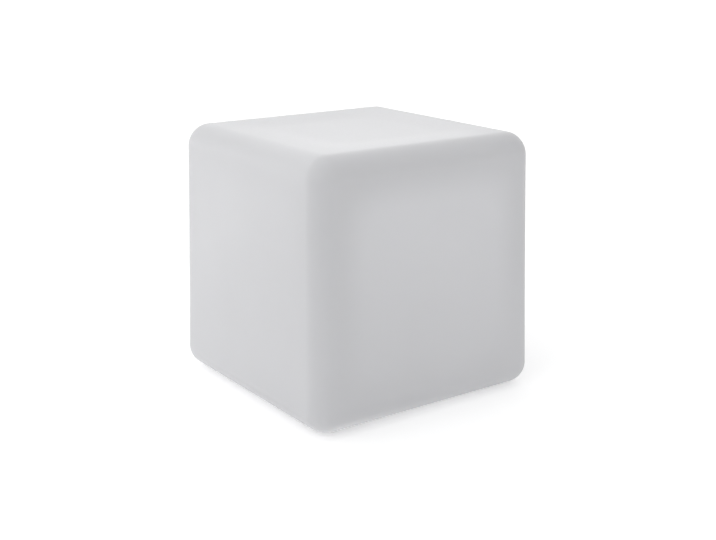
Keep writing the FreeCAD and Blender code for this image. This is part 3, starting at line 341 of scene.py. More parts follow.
def smooth_range(tree, value, low_in, high_in, low, high):
    m = tree.nodes.new("ShaderNodeMapRange")
    m.interpolation_type = "SMOOTHSTEP"
    m.inputs["From Min"].default_value = low_in
    m.inputs["From Max"].default_value = high_in
    m.inputs["To Min"].default_value = low
    m.inputs["To Max"].default_value = high
    tree.links.new(value, m.inputs["Value"])
    return m.outputs["Result"]


def painted_glow_panel(tree, coordinates):
    """Painted glow: 1 in the middle of a face, 0 at its rim. It lightens the base colour where light shining through
    the wall, which is thinnest there in a rotational moulding, would brighten the face.
    """
    split = tree.nodes.new("ShaderNodeSeparateXYZ")
    tree.links.new(coordinates, split.inputs[0])
    x = math_node(tree, "ABSOLUTE", split.outputs[0])
    y = math_node(tree, "ABSOLUTE", split.outputs[1])
    z = math_node(tree, "ABSOLUTE", math_node(tree, "SUBTRACT", split.outputs[2], MID_Z * MM))
    cubes = [math_node(tree, "POWER", math_node(tree, "MULTIPLY", c, 5.0), 6.0) for c in (x, y, z)]
    total = math_node(tree, "ADD", math_node(tree, "ADD", cubes[0], cubes[1]), cubes[2])
    largest = math_node(tree, "MAXIMUM", math_node(tree, "MAXIMUM", cubes[0], cubes[1]), cubes[2])
    rest = math_node(tree, "MAXIMUM", math_node(tree, "SUBTRACT", total, largest), 0.0)
    q = math_node(tree, "POWER", rest, 1 / 6)
    return smooth_range(tree, q, PANEL_OUT, PANEL_IN, 0.0, 1.0), y


# strength of the painted glow: PANEL_DEPTH on the two faces across Y, PANEL_SIDE on the others; it fills in from
# PANEL_OUT at the rim to PANEL_IN
PANEL_OUT, PANEL_IN = 0.86, 0.56
PANEL_DEPTH, PANEL_SIDE = 0.074, 0.012
PE_COLOUR = (0.5965, 0.5983, 0.6139)


def milky_polyethylene():
    m, t, p = new_material("milky_polyethylene")
    v = place_coordinates(t)
    # a rotational moulding is never quite even: broad clouds where the wall is thicker, and a fine orange peel
    broad = noise_node(t, v, 7.0, 3.0, 0.5)
    speckle = noise_node(t, v, 260.0, 4.0, 0.6)
    peel = noise_node(t, v, 420.0, 2.0, 0.5)
    ripple = noise_node(t, v, 38.0, 2.0, 0.5)
    # painted glow: the field below lightens the base colour in the middle of each face (lift), as light coming through
    # the wall would
    thin, y = painted_glow_panel(t, v)
    depth = smooth_range(t, y, 0.185, 0.196, PANEL_SIDE, PANEL_DEPTH)
    # painted shade: the painted glow is weaker low down and stronger high up, so the faces darken towards the base
    _, _, z = xyz(t, v)
    high = smooth_range(t, z, 0.05, 0.33, 0.45, 1.5)
    lift = math_node(t, "MULTIPLY_ADD", thin, math_node(t, "MULTIPLY", depth, high), 1.0)
    cloud = ramp(
        t, broad, [(0.25, shade(PE_COLOUR, 0.988)), (0.5, PE_COLOUR), (0.75, shade(PE_COLOUR, 1.010))]
    )
    mix = t.nodes.new("ShaderNodeVectorMath")
    mix.operation = "SCALE"
    t.links.new(cloud, mix.inputs[0])
    t.links.new(lift, mix.inputs["Scale"])
    t.links.new(mix.outputs[0], p.inputs["Base Color"])
    t.links.new(spread(t, speckle, 0.33, 0.43), p.inputs["Roughness"])
    p.inputs["IOR"].default_value = 1.5
    p.inputs["Subsurface Weight"].default_value = 1.0
    p.inputs["Subsurface Radius"].default_value = (1.0, 1.0, 0.95)
    p.inputs["Subsurface Scale"].default_value = 0.003
    bump(t, [(ripple, 0.00008), (peel, 0.000014)], p)
    return m


MID_Z = 201.0
PE = milky_polyethylene()


# ---------------------------------------------------------------- the shell
DRAFT = 10.25 / 398.0
EDGE_FLAT = 166.0  # half width of the flat part of a face, before the draft is put in


def sunk(a, b):
    """How far a face has sunk on cooling, 0 at its rim and 1 in its middle: the rim is held by the rounded edges."""
    q = (np.abs(a) ** 6 + np.abs(b) ** 6) ** (1 / 6)
    t = np.clip((168.0 - q) / (168.0 - 88.0), 0, 1)
    return t * t * (3 - 2 * t)


def crown(a, b):
    """A face that has drawn itself outward a little instead: 1 in its middle, 0 at its rim."""
    return np.clip(1 - (a / 166.0) ** 2, 0, 1) * np.clip(1 - (b / 166.0) ** 2, 0, 1)


def shape_point(p, half, low, high):
    """Puts draft, the pull of the cooling edges and the sunk faces into points of a straight-sided rounded block (mm)."""
    x, y, z = p[:, 0].copy(), p[:, 1].copy(), p[:, 2].copy()
    height = z - MID_Z
    w = np.clip(height / 165.0, -1, 1)
    side_x, side_y = np.abs(x) > half - 0.01, np.abs(y) > half - 0.01
    dx = np.where(side_x, np.sign(x) * (SIDE_CROWN * crown(y, height) - SIDE_DISH_X * sunk(y, height)), 0.0)
    dy = np.where(side_y, -np.sign(y) * SIDE_DISH * sunk(x, height), 0.0)
    dz = np.where(z > high - 0.01, -TOP_DISH * sunk(x, y), 0.0)
    dz = dz + np.where(z < low + 0.01, BASE_DISH * sunk(x, y), 0.0)
    s = (204.45 - DRAFT * (z - 2.0)) / 200.0 * (1 - EDGE_PULL / 200.0 * (1 - w * w))
    return np.stack([(x + dx) * s, (y + dy) * s, z + dz], axis=1)


SIDE_DISH, TOP_DISH, BASE_DISH, EDGE_PULL = 2.4, 3.4, 0.5, 0.3
SIDE_CROWN, SIDE_DISH_X = 2.2, 0.0


def steps(flat, radius, across, turn):
    """Grid lines across one side: a flat stretch, and on each end half of a quarter-round."""
    out = [flat + radius * math.tan(math.radians(45.0 * i / turn)) for i in range(1, turn + 1)]
    inside = [-flat + 2 * flat * i / across for i in range(across + 1)]
    return [-x for x in reversed(out)] + inside + out


def rounded_skin(half, low, high, radius, across, turn):
    """Quads of a block with rounded edges, without the flat part of its underside. Returns points and faces."""
    points, faces = [], []
    zc, hz = (low + high) / 2, (high - low) / 2
    flat = (half - radius, half - radius, hz - radius)
    size = (half, half, hz)
    grid = [steps(f, radius, across, turn) for f in flat]
    for axis in range(3):
        a, b = [(1, 2), (2, 0), (0, 1)][axis]
        for sign in (1, -1):
            base = len(points)
            na, nb = len(grid[a]), len(grid[b])
            for i in range(na):
                for j in range(nb):
                    p = [0.0, 0.0, 0.0]
                    p[axis], p[a], p[b] = sign * size[axis], grid[a][i], grid[b][j]
                    q = [max(-f, min(f, c)) for c, f in zip(p, flat)]
                    n = Vector([c - d for c, d in zip(p, q)]).normalized()
                    points.append([q[k] + radius * n[k] for k in range(3)])
            for i in range(na - 1):
                for j in range(nb - 1):
                    if axis == 2 and sign < 0 and turn <= i < turn + across and turn <= j < turn + across:
                        continue
                    f = [base + i * nb + j, base + (i + 1) * nb + j, base + (i + 1) * nb + j + 1, base + i * nb + j + 1]
                    faces.append(f if sign > 0 else f[::-1])
    points = np.array(points)
    points[:, 2] += zc
    return points, faces


def build_shell():
    across, turn = 36, 9
    all_points, all_faces = [], []

    def add(points, faces, flip=False):
        base = sum(len(p) for p in all_points)
        all_points.append(points)
        all_faces.extend([[base + i for i in (f[::-1] if flip else f)] for f in faces])

    # the directions of the perimeter of the underside's flat part: every ring of the recess uses them
    line = [-EDGE_FLAT + 2 * EDGE_FLAT * i / across for i in range(across)]
    perimeter = (
        [(x, -EDGE_FLAT) for x in line]
        + [(EDGE_FLAT, y) for y in line]
        + [(-x, EDGE_FLAT) for x in line]
        + [(-EDGE_FLAT, -y) for y in line]
    )
    count = len(perimeter)
    bearing = [math.atan2(y, x) for x, y in perimeter]

    def skin(half, low, high, radius, circle_radius, flip):
        """One skin of the wall, with its underside drawn in from the square to a circle."""
        points, faces = rounded_skin(half, low, high, radius, across, turn)
        add(shape_point(points, half, low, high), faces, flip)
        rows = 14
        rings = []
        for k in range(rows + 1):
            t = k / rows
            t = t * (1.6 - 0.6 * t)
            flat = np.array(
                [
                    [
                        x * (half - radius) / EDGE_FLAT * (1 - t) + circle_radius / scale_low * math.cos(a) * t,
                        y * (half - radius) / EDGE_FLAT * (1 - t) + circle_radius / scale_low * math.sin(a) * t,
                        low,
                    ]
                    for (x, y), a in zip(perimeter, bearing)
                ]
            )
            rings.append(shape_point(flat, half, low, high))
        strip(rings, flip)
        return rings[-1]

    def strip(rings, flip):
        n = len(rings)
        points = np.concatenate(rings)
        faces = []
        for k in range(n - 1):
            for i in range(count):
                j = (i + 1) % count
                faces.append([k * count + i, (k + 1) * count + i, (k + 1) * count + j, k * count + j])
        add(points, faces, flip)

    def ring(radius, z):
        return np.array([[radius * math.cos(a), radius * math.sin(a), z] for a in bearing])

    scale_low = 204.45 / 200.0
    mouth = skin(200.0, 2.0, 400.0, 34.0, 103.0, False)
    inner_mouth = skin(196.5, 5.5, 396.5, 30.5, 101.5, True)

    def arc(centre_r, centre_z, radius, start, end, n):
        return [
            ring(
                centre_r + radius * math.cos(math.radians(start + (end - start) * i / n)),
                centre_z + radius * math.sin(math.radians(start + (end - start) * i / n)),
            )
            for i in range(n + 1)
        ]

    lip = mouth[:, 2].mean()
    outside = [mouth]
    outside += arc(103.0, lip + 5.0, 5.0, 270, 180, 8)[1:]
    outside += [ring(98.0, z) for z in (9.5, 13.0, 17.0)]
    outside += arc(94.0, 22.0, 4.0, 0, 90, 7)
    outside += [ring(r, 26.0) for r in (90.0, 84.0, 78.0, 73.0)]
    outside += arc(70.6, 26.6, 0.6, 270, 180, 3)
    outside += arc(70.6, 28.9, 0.6, 180, 90, 3)
    outside += [ring(r, 29.5) for r in (73.0, 78.0, 84.0, 90.0)]
    outside += arc(94.0, 22.0, 7.5, 90, 0, 8)
    outside += [ring(101.5, z) for z in (17.0, 13.0, 9.0)]
    outside += [inner_mouth]
    strip(outside, False)

    mesh = bpy.data.meshes.new("cube_shell")
    points = np.concatenate(all_points) * MM
    mesh.from_pydata([tuple(p) for p in points], [], all_faces)
    obj = add_object("cube_shell", mesh)
    bm = bmesh.new()
    bm.from_mesh(mesh)
    bmesh.ops.remove_doubles(bm, verts=bm.verts, dist=2e-6)
    bmesh.ops.recalc_face_normals(bm, faces=bm.faces)
    bm.to_mesh(mesh)
    open_edges = sum(1 for e in bm.edges if not e.is_manifold)
    bm.free()
    print("shell open edges", open_edges, "vertices", len(mesh.vertices))
    return obj


def cylinder_mesh(name, places, radius, low, high, segments=48):
    bm = bmesh.new()
    for x, y in places:
        made = bmesh.ops.create_cone(bm, cap_ends=True, segments=segments, radius1=radius * MM, radius2=radius * MM, depth=(high - low) * MM)
        bmesh.ops.translate(bm, verts=made["verts"], vec=Vector((x, y, (low + high) / 2)) * MM)
    mesh = bpy.data.meshes.new(name)
    bm.to_mesh(mesh)
    bm.free()
    return add_object(name, mesh)


def apply_modifiers(obj):
    dg = bpy.context.evaluated_depsgraph_get()
    mesh = bpy.data.meshes.new_from_object(obj.evaluated_get(dg))
    obj.modifiers.clear()
    old = obj.data
    obj.data = mesh
    bpy.data.meshes.remove(old)


def boolean(obj, tool, operation):
    m = obj.modifiers.new("boolean", "BOOLEAN")
    m.operation, m.object, m.solver = operation, tool, "EXACT"
    apply_modifiers(obj)
    bpy.data.objects.remove(tool)


def ring_places(radius, angles):
    return [(radius * math.cos(math.radians(a)), radius * math.sin(math.radians(a))) for a in angles]


def smooth(obj, angle=32.0):
    for f in obj.data.polygons:
        f.use_smooth = True
    obj.data.set_sharp_from_angle(angle=math.radians(angle))


shell = build_shell()
screw_places = ring_places(84.0, [30 + 60 * i for i in range(6)])
foot_places = [(140, 140), (-140, 140), (-140, -140), (140, -140)]
boolean(shell, cylinder_mesh("boss_tool", screw_places, 9.0, 28.0, 41.0), "UNION")
boolean(shell, cylinder_mesh("seat_tool", screw_places, 4.52, 20.0, 38.0), "DIFFERENCE")
boolean(shell, cylinder_mesh("foot_tool", foot_places, 11.2, -5.0, 3.0, 64), "DIFFERENCE")
shell.data.name = "cube_shell"
shell.data.materials.clear()
shell.data.materials.append(PE)
smooth(shell)
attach(shell, "housing")
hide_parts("shell")


# ---------------------------------------------------------------- masks and patterns for the parts inside and below
def join(tree, x, y, z):
    c = tree.nodes.new("ShaderNodeCombineXYZ")
    for i, value in enumerate((x, y, z)):
        if isinstance(value, (int, float)):
            c.inputs[i].default_value = value
        else:
            tree.links.new(value, c.inputs[i])
    return c.outputs[0]


def hypot(tree, a, b):
    return math_node(tree, "SQRT", math_node(tree, "MULTIPLY_ADD", a, a, math_node(tree, "MULTIPLY", b, b)))


def from_axis(tree, v, x, y):
    """Distance in metres from an upright axis at x, y (mm)."""
    a, b, _ = xyz(tree, v)
    return hypot(tree, math_node(tree, "SUBTRACT", a, x * MM), math_node(tree, "SUBTRACT", b, y * MM))


def from_ring(tree, v, radius, first, step):
    """Distance from the nearest of a ring of upright axes: radius in mm, the first one's bearing and the step in degrees."""
    a, b, _ = xyz(tree, v)
    bearing = math_node(tree, "ARCTAN2", b, a)
    turned = math_node(tree, "ADD", bearing, math.radians(step / 2 - first + 720))
    folded = math_node(tree, "SUBTRACT", math_node(tree, "MODULO", turned, math.radians(step)), math.radians(step / 2))
    r = hypot(tree, a, b)
    along = math_node(tree, "SUBTRACT", math_node(tree, "MULTIPLY", r, math_node(tree, "COSINE", folded)), radius * MM)
    across = math_node(tree, "MULTIPLY", r, math_node(tree, "SINE", folded))
    return hypot(tree, along, across)


def box_mask(tree, v, low, high):
    """1 inside a box given in mm, 0 outside."""
    out = None
    for c, a, b in zip(xyz(tree, v), low, high):
        inside = math_node(tree, "COMPARE", c, (a + b) / 2 * MM, (b - a) / 2 * MM)
        out = inside if out is None else math_node(tree, "MULTIPLY", out, inside)
    return out


def any_of(tree, masks):
    out = masks[0]
    for m in masks[1:]:
        out = math_node(tree, "MAXIMUM", out, m)
    return out


def mix_colour(tree, fac, a, b):
    m = tree.nodes.new("ShaderNodeMix")
    m.data_type = "RGBA"
    for socket, value in ((m.inputs[0], fac), (m.inputs[6], a), (m.inputs[7], b)):
        if isinstance(value, (int, float)):
            socket.default_value = value
        elif isinstance(value, tuple):
            socket.default_value = (*value, 1)
        else:
            tree.links.new(value, socket)
    return m.outputs[2]


def mix_value(tree, fac, a, b):
    """a where fac is 0, b where it is 1."""
    n = tree.nodes.new("ShaderNodeMix")
    n.data_type = "FLOAT"
    for socket, value in ((n.inputs[0], fac), (n.inputs[2], a), (n.inputs[3], b)):
        if isinstance(value, (int, float)):
            socket.default_value = value
        else:
            tree.links.new(value, socket)
    return n.outputs[0]


def rings_of(tree, distance, z, pitch):
    """Tool marks round an axis: noise that changes with the distance from it, and with height on its sides."""
    along = math_node(tree, "MULTIPLY", distance, 1.0 / (pitch * MM))
    high = math_node(tree, "MULTIPLY", z, 1.0 / (pitch * MM))
    return noise_node(tree, join(tree, along, high, 0.0), 1.0, 2.0, 0.6)


def turned_about(name, colour, distance_of, pitch=0.12, rough=0.24, depth=0.000006, tarnish=0.1, wipe=0.05):
    """Metal turned on a lathe: rings round its own axis, a faint haze and a few fine wiping scratches."""
    m, t, p = new_material(name)
    v = place_coordinates(t)
    _, _, z = xyz(t, v)
    marks = rings_of(t, distance_of(t, v), z, pitch)
    cloud = noise_node(t, v, 240.0, 5.0, 0.6)
    scratch = noise_node(t, place_coordinates(t, (300.0, 9000.0, 300.0)), 1.0, 2.0, 0.5)
    t.links.new(ramp(t, cloud, [(0.28, shade(colour, 1 - tarnish)), (0.6, colour), (0.8, shade(colour, 1.03))]), p.inputs["Base Color"])
    uneven = math_node(t, "MULTIPLY_ADD", spread(t, scratch, 0.0, wipe, 0.55, 0.7), 1.0, spread(t, marks, rough - 0.06, rough + 0.09))
    t.links.new(uneven, p.inputs["Roughness"])
    p.inputs["Metallic"].default_value = 1.0
    bump(t, [(marks, depth), (cloud, depth * 1.5)], p)
    return m


STEEL, BRASS, NICKEL = (0.66, 0.655, 0.64), (0.78, 0.58, 0.28), (0.70, 0.675, 0.62)


# ---------------------------------------------------------------- materials below and inside
def foot_rubber():
    m, t, p = new_material("foot_rubber")
    v = place_coordinates(t)
    _, _, z = xyz(t, v)
    distance = from_ring(t, v, 197.99, 45.0, 90.0)
    fine, broad = noise_node(t, v, 2600.0, 3.0), noise_node(t, v, 150.0, 5.0, 0.65)
    grit = noise_node(t, v, 900.0, 2.0, 0.7)
    # shallow moulded rings in the sole, and the floor's dust on it
    tread = math_node(t, "SINE", math_node(t, "MULTIPLY", distance, 2 * math.pi / (1.8 * MM)))
    sole = smooth_range(t, z, 0.0008, 0.0001, 0.0, 1.0)
    dust = math_node(t, "MULTIPLY", spread(t, broad, 0.0, 0.5, 0.42, 0.62), sole)
    base = ramp(t, broad, [(0.3, (0.165, 0.166, 0.164)), (0.7, (0.195, 0.195, 0.192))])
    worn = mix_colour(t, dust, base, (0.34, 0.33, 0.31))
    t.links.new(mix_colour(t, spread(t, grit, 0.0, 0.35, 0.62, 0.72), worn, (0.11, 0.11, 0.108)), p.inputs["Base Color"])
    t.links.new(spread(t, fine, 0.68, 0.84), p.inputs["Roughness"])
    p.inputs["Specular IOR Level"].default_value = 0.35
    deep = math_node(t, "MULTIPLY", tread, sole)
    bump(t, [(deep, 0.00012), (fine, 0.00003)], p)
    return m


def tray_plastic():
    """Moulded housing plastic with a spark-eroded grain, polished where the wrench and screw heads rub."""
    m, t, p = new_material("tray_plastic")
    v = place_coordinates(t)
    grain = noise_node(t, v, 2300.0, 3.0, 0.65)
    flow = noise_node(t, place_coordinates(t, (1.0, 2.2, 1.0)), 26.0, 5.0, 0.55)
    speck = noise_node(t, v, 520.0, 2.0, 0.5)
    near_screw = smooth_range(t, from_ring(t, v, 84.0, 30.0, 60.0), 0.0085, 0.0060, 0.0, 1.0)
    colour = (0.615, 0.624, 0.640)
    t.links.new(
        mix_colour(
            t,
            math_node(t, "MULTIPLY", near_screw, 0.25),
            ramp(t, flow, [(0.3, shade(colour, 0.965)), (0.5, colour), (0.72, shade(colour, 1.025))]),
            shade(colour, 0.86),
        ),
        p.inputs["Base Color"],
    )
    rough = math_node(t, "SUBTRACT", spread(t, grain, 0.46, 0.60), math_node(t, "MULTIPLY", near_screw, 0.12))
    t.links.new(rough, p.inputs["Roughness"])
    p.inputs["IOR"].default_value = 1.53
    bump(t, [(grain, 0.000035), (speck, 0.00002), (flow, 0.00006)], p)
    return m


def silicone(name, colour, rough=0.46, bloom=0.16, sss=0.35):
    """Silicone rubber: a soft waxy gloss, a pale bloom and clinging dust."""
    m, t, p = new_material(name)
    v = place_coordinates(t)
    broad = noise_node(t, v, 210.0, 5.0, 0.6)
    fine = noise_node(t, v, 3200.0, 2.0, 0.5)
    dust = noise_node(t, v, 1400.0, 3.0, 0.7)
    pale = tuple(min(1.0, c + 0.10) for c in colour)
    base = ramp(t, broad, [(0.3, shade(colour, 0.93)), (0.7, shade(colour, 1.05))])
    t.links.new(mix_colour(t, spread(t, dust, 0.0, bloom, 0.58, 0.72), base, pale), p.inputs["Base Color"])
    t.links.new(spread(t, broad, rough - 0.07, rough + 0.09), p.inputs["Roughness"])
    p.inputs["IOR"].default_value = 1.43
    p.inputs["Subsurface Weight"].default_value = sss
    p.inputs["Subsurface Radius"].default_value = (1.0, 0.95, 0.9)
    p.inputs["Subsurface Scale"].default_value = 0.0012
    p.inputs["Sheen Weight"].default_value = 0.12
    p.inputs["Sheen Roughness"].default_value = 0.5
    bump(t, [(broad, 0.00005), (fine, 0.00001)], p)
    return m


LED_RINGS = ((40.0, 0.0, 22.5), (20.0, 22.5, 45.0))


def white_board():
    """White solder mask on an aluminium core: copper shows faintly under the mask, and bright pads round every LED."""
    m, t, p = new_material("white_board")
    v = place_coordinates(t)
    x, y, z = xyz(t, v)
    r = hypot(t, x, y)
    speck = noise_node(t, v, 1900.0, 3.0, 0.6)
    cloud = noise_node(t, v, 70.0, 4.0, 0.55)
    top = smooth_range(t, z, 0.06355, 0.06358, 0.0, 1.0)
    tracks = [math_node(t, "COMPARE", r, k * MM, w * MM) for k, w in ((40.0, 1.9), (20.0, 1.9), (30.0, 0.9), (47.6, 0.6), (12.0, 0.6))]
    gaps = [
        math_node(t, "LESS_THAN", from_ring(t, v, radius, first + step / 2, step), 0.0011) for radius, first, step in LED_RINGS
    ]
    copper = any_of(t, tracks)
    for gap in gaps:
        copper = math_node(t, "MULTIPLY", copper, math_node(t, "SUBTRACT", 1.0, gap))
    pads = any_of(t, [math_node(t, "LESS_THAN", from_ring(t, v, radius, first, step), 0.0041) for radius, first, step in LED_RINGS])
    holes = [math_node(t, "LESS_THAN", from_ring(t, v, 50.0, first, 180.0), 0.0036) for first in (20.0, -20.0)]
    bare = math_node(t, "MULTIPLY", any_of(t, [pads] + holes), top)
    mask_colour = ramp(t, cloud, [(0.3, (0.80, 0.81, 0.80)), (0.7, (0.85, 0.855, 0.845))])
    over_copper = mix_colour(t, math_node(t, "MULTIPLY", copper, 0.55), mask_colour, (0.70, 0.70, 0.665))
    metal = mix_colour(t, top, (0.74, 0.745, 0.75), (0.72, 0.72, 0.70))
    is_metal = math_node(t, "MAXIMUM", math_node(t, "SUBTRACT", 1.0, top), bare)
    t.links.new(mix_colour(t, is_metal, over_copper, metal), p.inputs["Base Color"])
    t.links.new(is_metal, p.inputs["Metallic"])
    t.links.new(mix_value(t, is_metal, spread(t, speck, 0.26, 0.36), spread(t, speck, 0.30, 0.46)), p.inputs["Roughness"])
    bump(t, [(copper, 0.00005), (pads, -0.00004), (speck, 0.000008)], p)
    return m


def led_housing():
    m, t, p = new_material("led_housing")
    v = place_coordinates(t)
    fine, broad = noise_node(t, v, 3400.0, 2.0), noise_node(t, v, 420.0, 4.0)
    _, _, z = xyz(t, v)
    legs = math_node(t, "LESS_THAN", z, 0.06395)
    base = ramp(t, broad, [(0.3, (0.80, 0.795, 0.765)), (0.7, (0.86, 0.86, 0.835))])
    t.links.new(mix_colour(t, legs, base, (0.74, 0.73, 0.70)), p.inputs["Base Color"])
    t.links.new(legs, p.inputs["Metallic"])
    t.links.new(spread(t, fine, 0.20, 0.34), p.inputs["Roughness"])
    bump(t, [(fine, 0.000006), (broad, 0.00001)], p)
    return m


def led_gel():
    """The phosphor gel: yellow, cloudy, with a wet meniscus, and the chips under it as darker spots."""
    m, t, p = new_material("led_gel")
    v = place_coordinates(t)
    grains = noise_node(t, v, 5200.0, 3.0, 0.7)
    cloud = noise_node(t, v, 900.0, 3.0)
    centre = any_of(t, [math_node(t, "LESS_THAN", from_ring(t, v, radius, first, step), 0.0005) for radius, first, step in LED_RINGS])
    base = ramp(t, grains, [(0.3, (0.72, 0.50, 0.055)), (0.5, (0.79, 0.585, 0.085)), (0.72, (0.85, 0.67, 0.16))])
    t.links.new(mix_colour(t, math_node(t, "MULTIPLY", centre, 0.5), base, (0.50, 0.36, 0.10)), p.inputs["Base Color"])
    t.links.new(spread(t, cloud, 0.10, 0.18), p.inputs["Roughness"])
    p.inputs["IOR"].default_value = 1.45
    p.inputs["Subsurface Weight"].default_value = 0.5
    p.inputs["Subsurface Radius"].default_value = (1.0, 0.7, 0.2)
    p.inputs["Subsurface Scale"].default_value = 0.0006
    bump(t, [(grains, 0.000006), (cloud, 0.00002)], p)
    return m


def receiver_black():
    m, t, p = new_material("receiver_black")
    v = place_coordinates(t)
    cloud, fine = noise_node(t, v, 300.0, 4.0), noise_node(t, v, 2600.0, 2.0)
    t.links.new(ramp(t, cloud, [(0.3, (0.012, 0.007, 0.012)), (0.7, (0.030, 0.014, 0.026))]), p.inputs["Base Color"])
    t.links.new(spread(t, fine, 0.10, 0.20), p.inputs["Roughness"])
    p.inputs["IOR"].default_value = 1.55
    p.inputs["Coat Weight"].default_value = 0.4
    p.inputs["Coat Roughness"].default_value = 0.08
    bump(t, [(fine, 0.000005)], p)
    return m


CHIPS = (
    ((-20.2, 1.8), (-7.8, 14.2)),
    ((14.5, -25.5), (21.5, -18.5)),
)


def green_board():
    """Solder mask over copper: runs of tracks at right angles, plated vias, and bare fibre at the sawn edge."""
    m, t, p = new_material("green_board")
    v = place_coordinates(t)
    x, y, z = xyz(t, v)
    r = hypot(t, x, y)
    weave = noise_node(t, place_coordinates(t, (1.0, 1.0, 4.0)), 1500.0, 2.0)
    cloud = noise_node(t, v, 60.0, 4.0)

    def tracks(scale, width, height, mortar, offset):
        b = t.nodes.new("ShaderNodeTexBrick")
        b.offset, b.squash = offset, 1.0
        b.inputs["Scale"].default_value = scale
        b.inputs["Brick Width"].default_value = width
        b.inputs["Row Height"].default_value = height
        b.inputs["Mortar Size"].default_value = mortar
        b.inputs["Mortar Smooth"].default_value = 0.0
        t.links.new(v, b.inputs["Vector"])
        return b.outputs["Fac"]

    first = tracks(1000.0, 7.9, 1.9, 0.22, 0.37)
    second = tracks(1000.0, 3.3, 5.3, 0.3, 0.61)
    where = math_node(t, "GREATER_THAN", noise_node(t, v, 75.0, 0.0), 0.49)
    copper = mix_value(t, where, first, second)
    cells = t.nodes.new("ShaderNodeTexVoronoi")
    cells.feature = "F1"
    cells.inputs["Scale"].default_value = 190.0
    cells.inputs["Randomness"].default_value = 0.85
    t.links.new(join(t, x, y, 0.0), cells.inputs["Vector"])
    ring_out = math_node(t, "LESS_THAN", cells.outputs["Distance"], 0.085)
    hole = math_node(t, "LESS_THAN", cells.outputs["Distance"], 0.04)
    holes = [math_node(t, "LESS_THAN", from_ring(t, v, 50.0, first_at, 180.0), 0.0042) for first_at in (20.0, -20.0)]
    edge = math_node(t, "GREATER_THAN", r, 0.05594)
    mask = ramp(t, cloud, [(0.3, (0.008, 0.095, 0.040)), (0.7, (0.012, 0.125, 0.055))])
    lit = mix_colour(t, copper, mask, (0.030, 0.215, 0.085))
    pads = any_of(t, [ring_out] + holes)
    plated = mix_colour(t, pads, lit, (0.76, 0.73, 0.66))
    # painted shade: each via's hole is a near-black disc, standing in for the shade down the hole
    drilled = mix_colour(t, hole, plated, (0.02, 0.02, 0.018))
    fibre = ramp(t, weave, [(0.35, (0.33, 0.34, 0.17)), (0.65, (0.47, 0.47, 0.28))])
    t.links.new(mix_colour(t, edge, drilled, fibre), p.inputs["Base Color"])
    inner = math_node(t, "MULTIPLY", math_node(t, "SUBTRACT", 1.0, edge), math_node(t, "SUBTRACT", pads, math_node(t, "MULTIPLY", hole, pads)))
    t.links.new(inner, p.inputs["Metallic"])
    t.links.new(mix_value(t, edge, spread(t, weave, 0.20, 0.30), 0.75), p.inputs["Roughness"])
    bump(t, [(copper, 0.00004), (weave, 0.000006)], p)
    return m


def chip_black():
    """Everything soldered to the control board, told apart by where it stands."""
    m, t, p = new_material("board_parts")
    v = place_coordinates(t)
    x, y, z = xyz(t, v)
    fine, broad = noise_node(t, v, 3000.0, 3.0, 0.6), noise_node(t, v, 260.0, 4.0)
    epoxy = ramp(t, fine, [(0.3, (0.014, 0.014, 0.015)), (0.7, (0.028, 0.028, 0.029))])
    # capacitors: dark sleeves, bare aluminium tops with a scored cross
    cans = [(20.0, -34.0), (30.0, -34.0)]
    can = any_of(t, [math_node(t, "LESS_THAN", from_axis(t, v, a, b), 0.00415) for a, b in cans])
    top = math_node(t, "MULTIPLY", can, math_node(t, "GREATER_THAN", z, 0.05802))
    inner = any_of(t, [math_node(t, "LESS_THAN", from_axis(t, v, a, b), 0.0033) for a, b in cans])
    bare = math_node(t, "MULTIPLY", top, inner)
    band = any_of(t, [box_mask(t, v, (a - 4.3, b - 1.2, 50.0), (a - 2.6, b + 1.2, 60.0)) for a, b in cans])
    sleeve = mix_colour(t, band, (0.020, 0.030, 0.075), (0.55, 0.56, 0.57))
    scored = any_of(
        t,
        [math_node(t, "COMPARE", x, a * MM, 0.00016) for a, _ in cans]
        + [math_node(t, "COMPARE", y, b * MM, 0.00016) for _, b in cans[:1]],
    )
    crystal = box_mask(t, v, (-28.0, 1.6, 49.0), (-24.0, 10.4, 56.0))
    coil = box_mask(t, v, (25.8, -24.2, 49.0), (34.2, -15.8, 56.0))
    wound = math_node(t, "LESS_THAN", from_axis(t, v, 30.0, -20.0), 0.0031)
    ferrite = mix_colour(
        t, wound, ramp(t, broad, [(0.3, (0.045, 0.043, 0.042)), (0.7, (0.075, 0.072, 0.070))]), (0.10, 0.060, 0.035)
    )
    dot = any_of(t, [math_node(t, "LESS_THAN", from_axis(t, v, a, b), 0.0005) for a, b in ((-18.4, 12.4), (15.7, -19.7))])
    colour = mix_colour(t, math_node(t, "MULTIPLY", dot, 0.6), epoxy, (0.06, 0.06, 0.06))
    colour = mix_colour(t, coil, colour, ferrite)
    colour = mix_colour(t, can, colour, sleeve)
    colour = mix_colour(t, math_node(t, "MAXIMUM", bare, crystal), colour, (0.72, 0.72, 0.70))
    t.links.new(colour, p.inputs["Base Color"])
    t.links.new(math_node(t, "MAXIMUM", bare, crystal), p.inputs["Metallic"])
    rough = mix_value(t, math_node(t, "MAXIMUM", can, crystal), spread(t, fine, 0.42, 0.58), spread(t, broad, 0.22, 0.34))
    t.links.new(rough, p.inputs["Roughness"])
    bump(t, [(math_node(t, "MULTIPLY", scored, bare), -0.00012), (fine, 0.00001), (math_node(t, "MULTIPLY", dot, 1.0), -0.00008)], p)
    return m


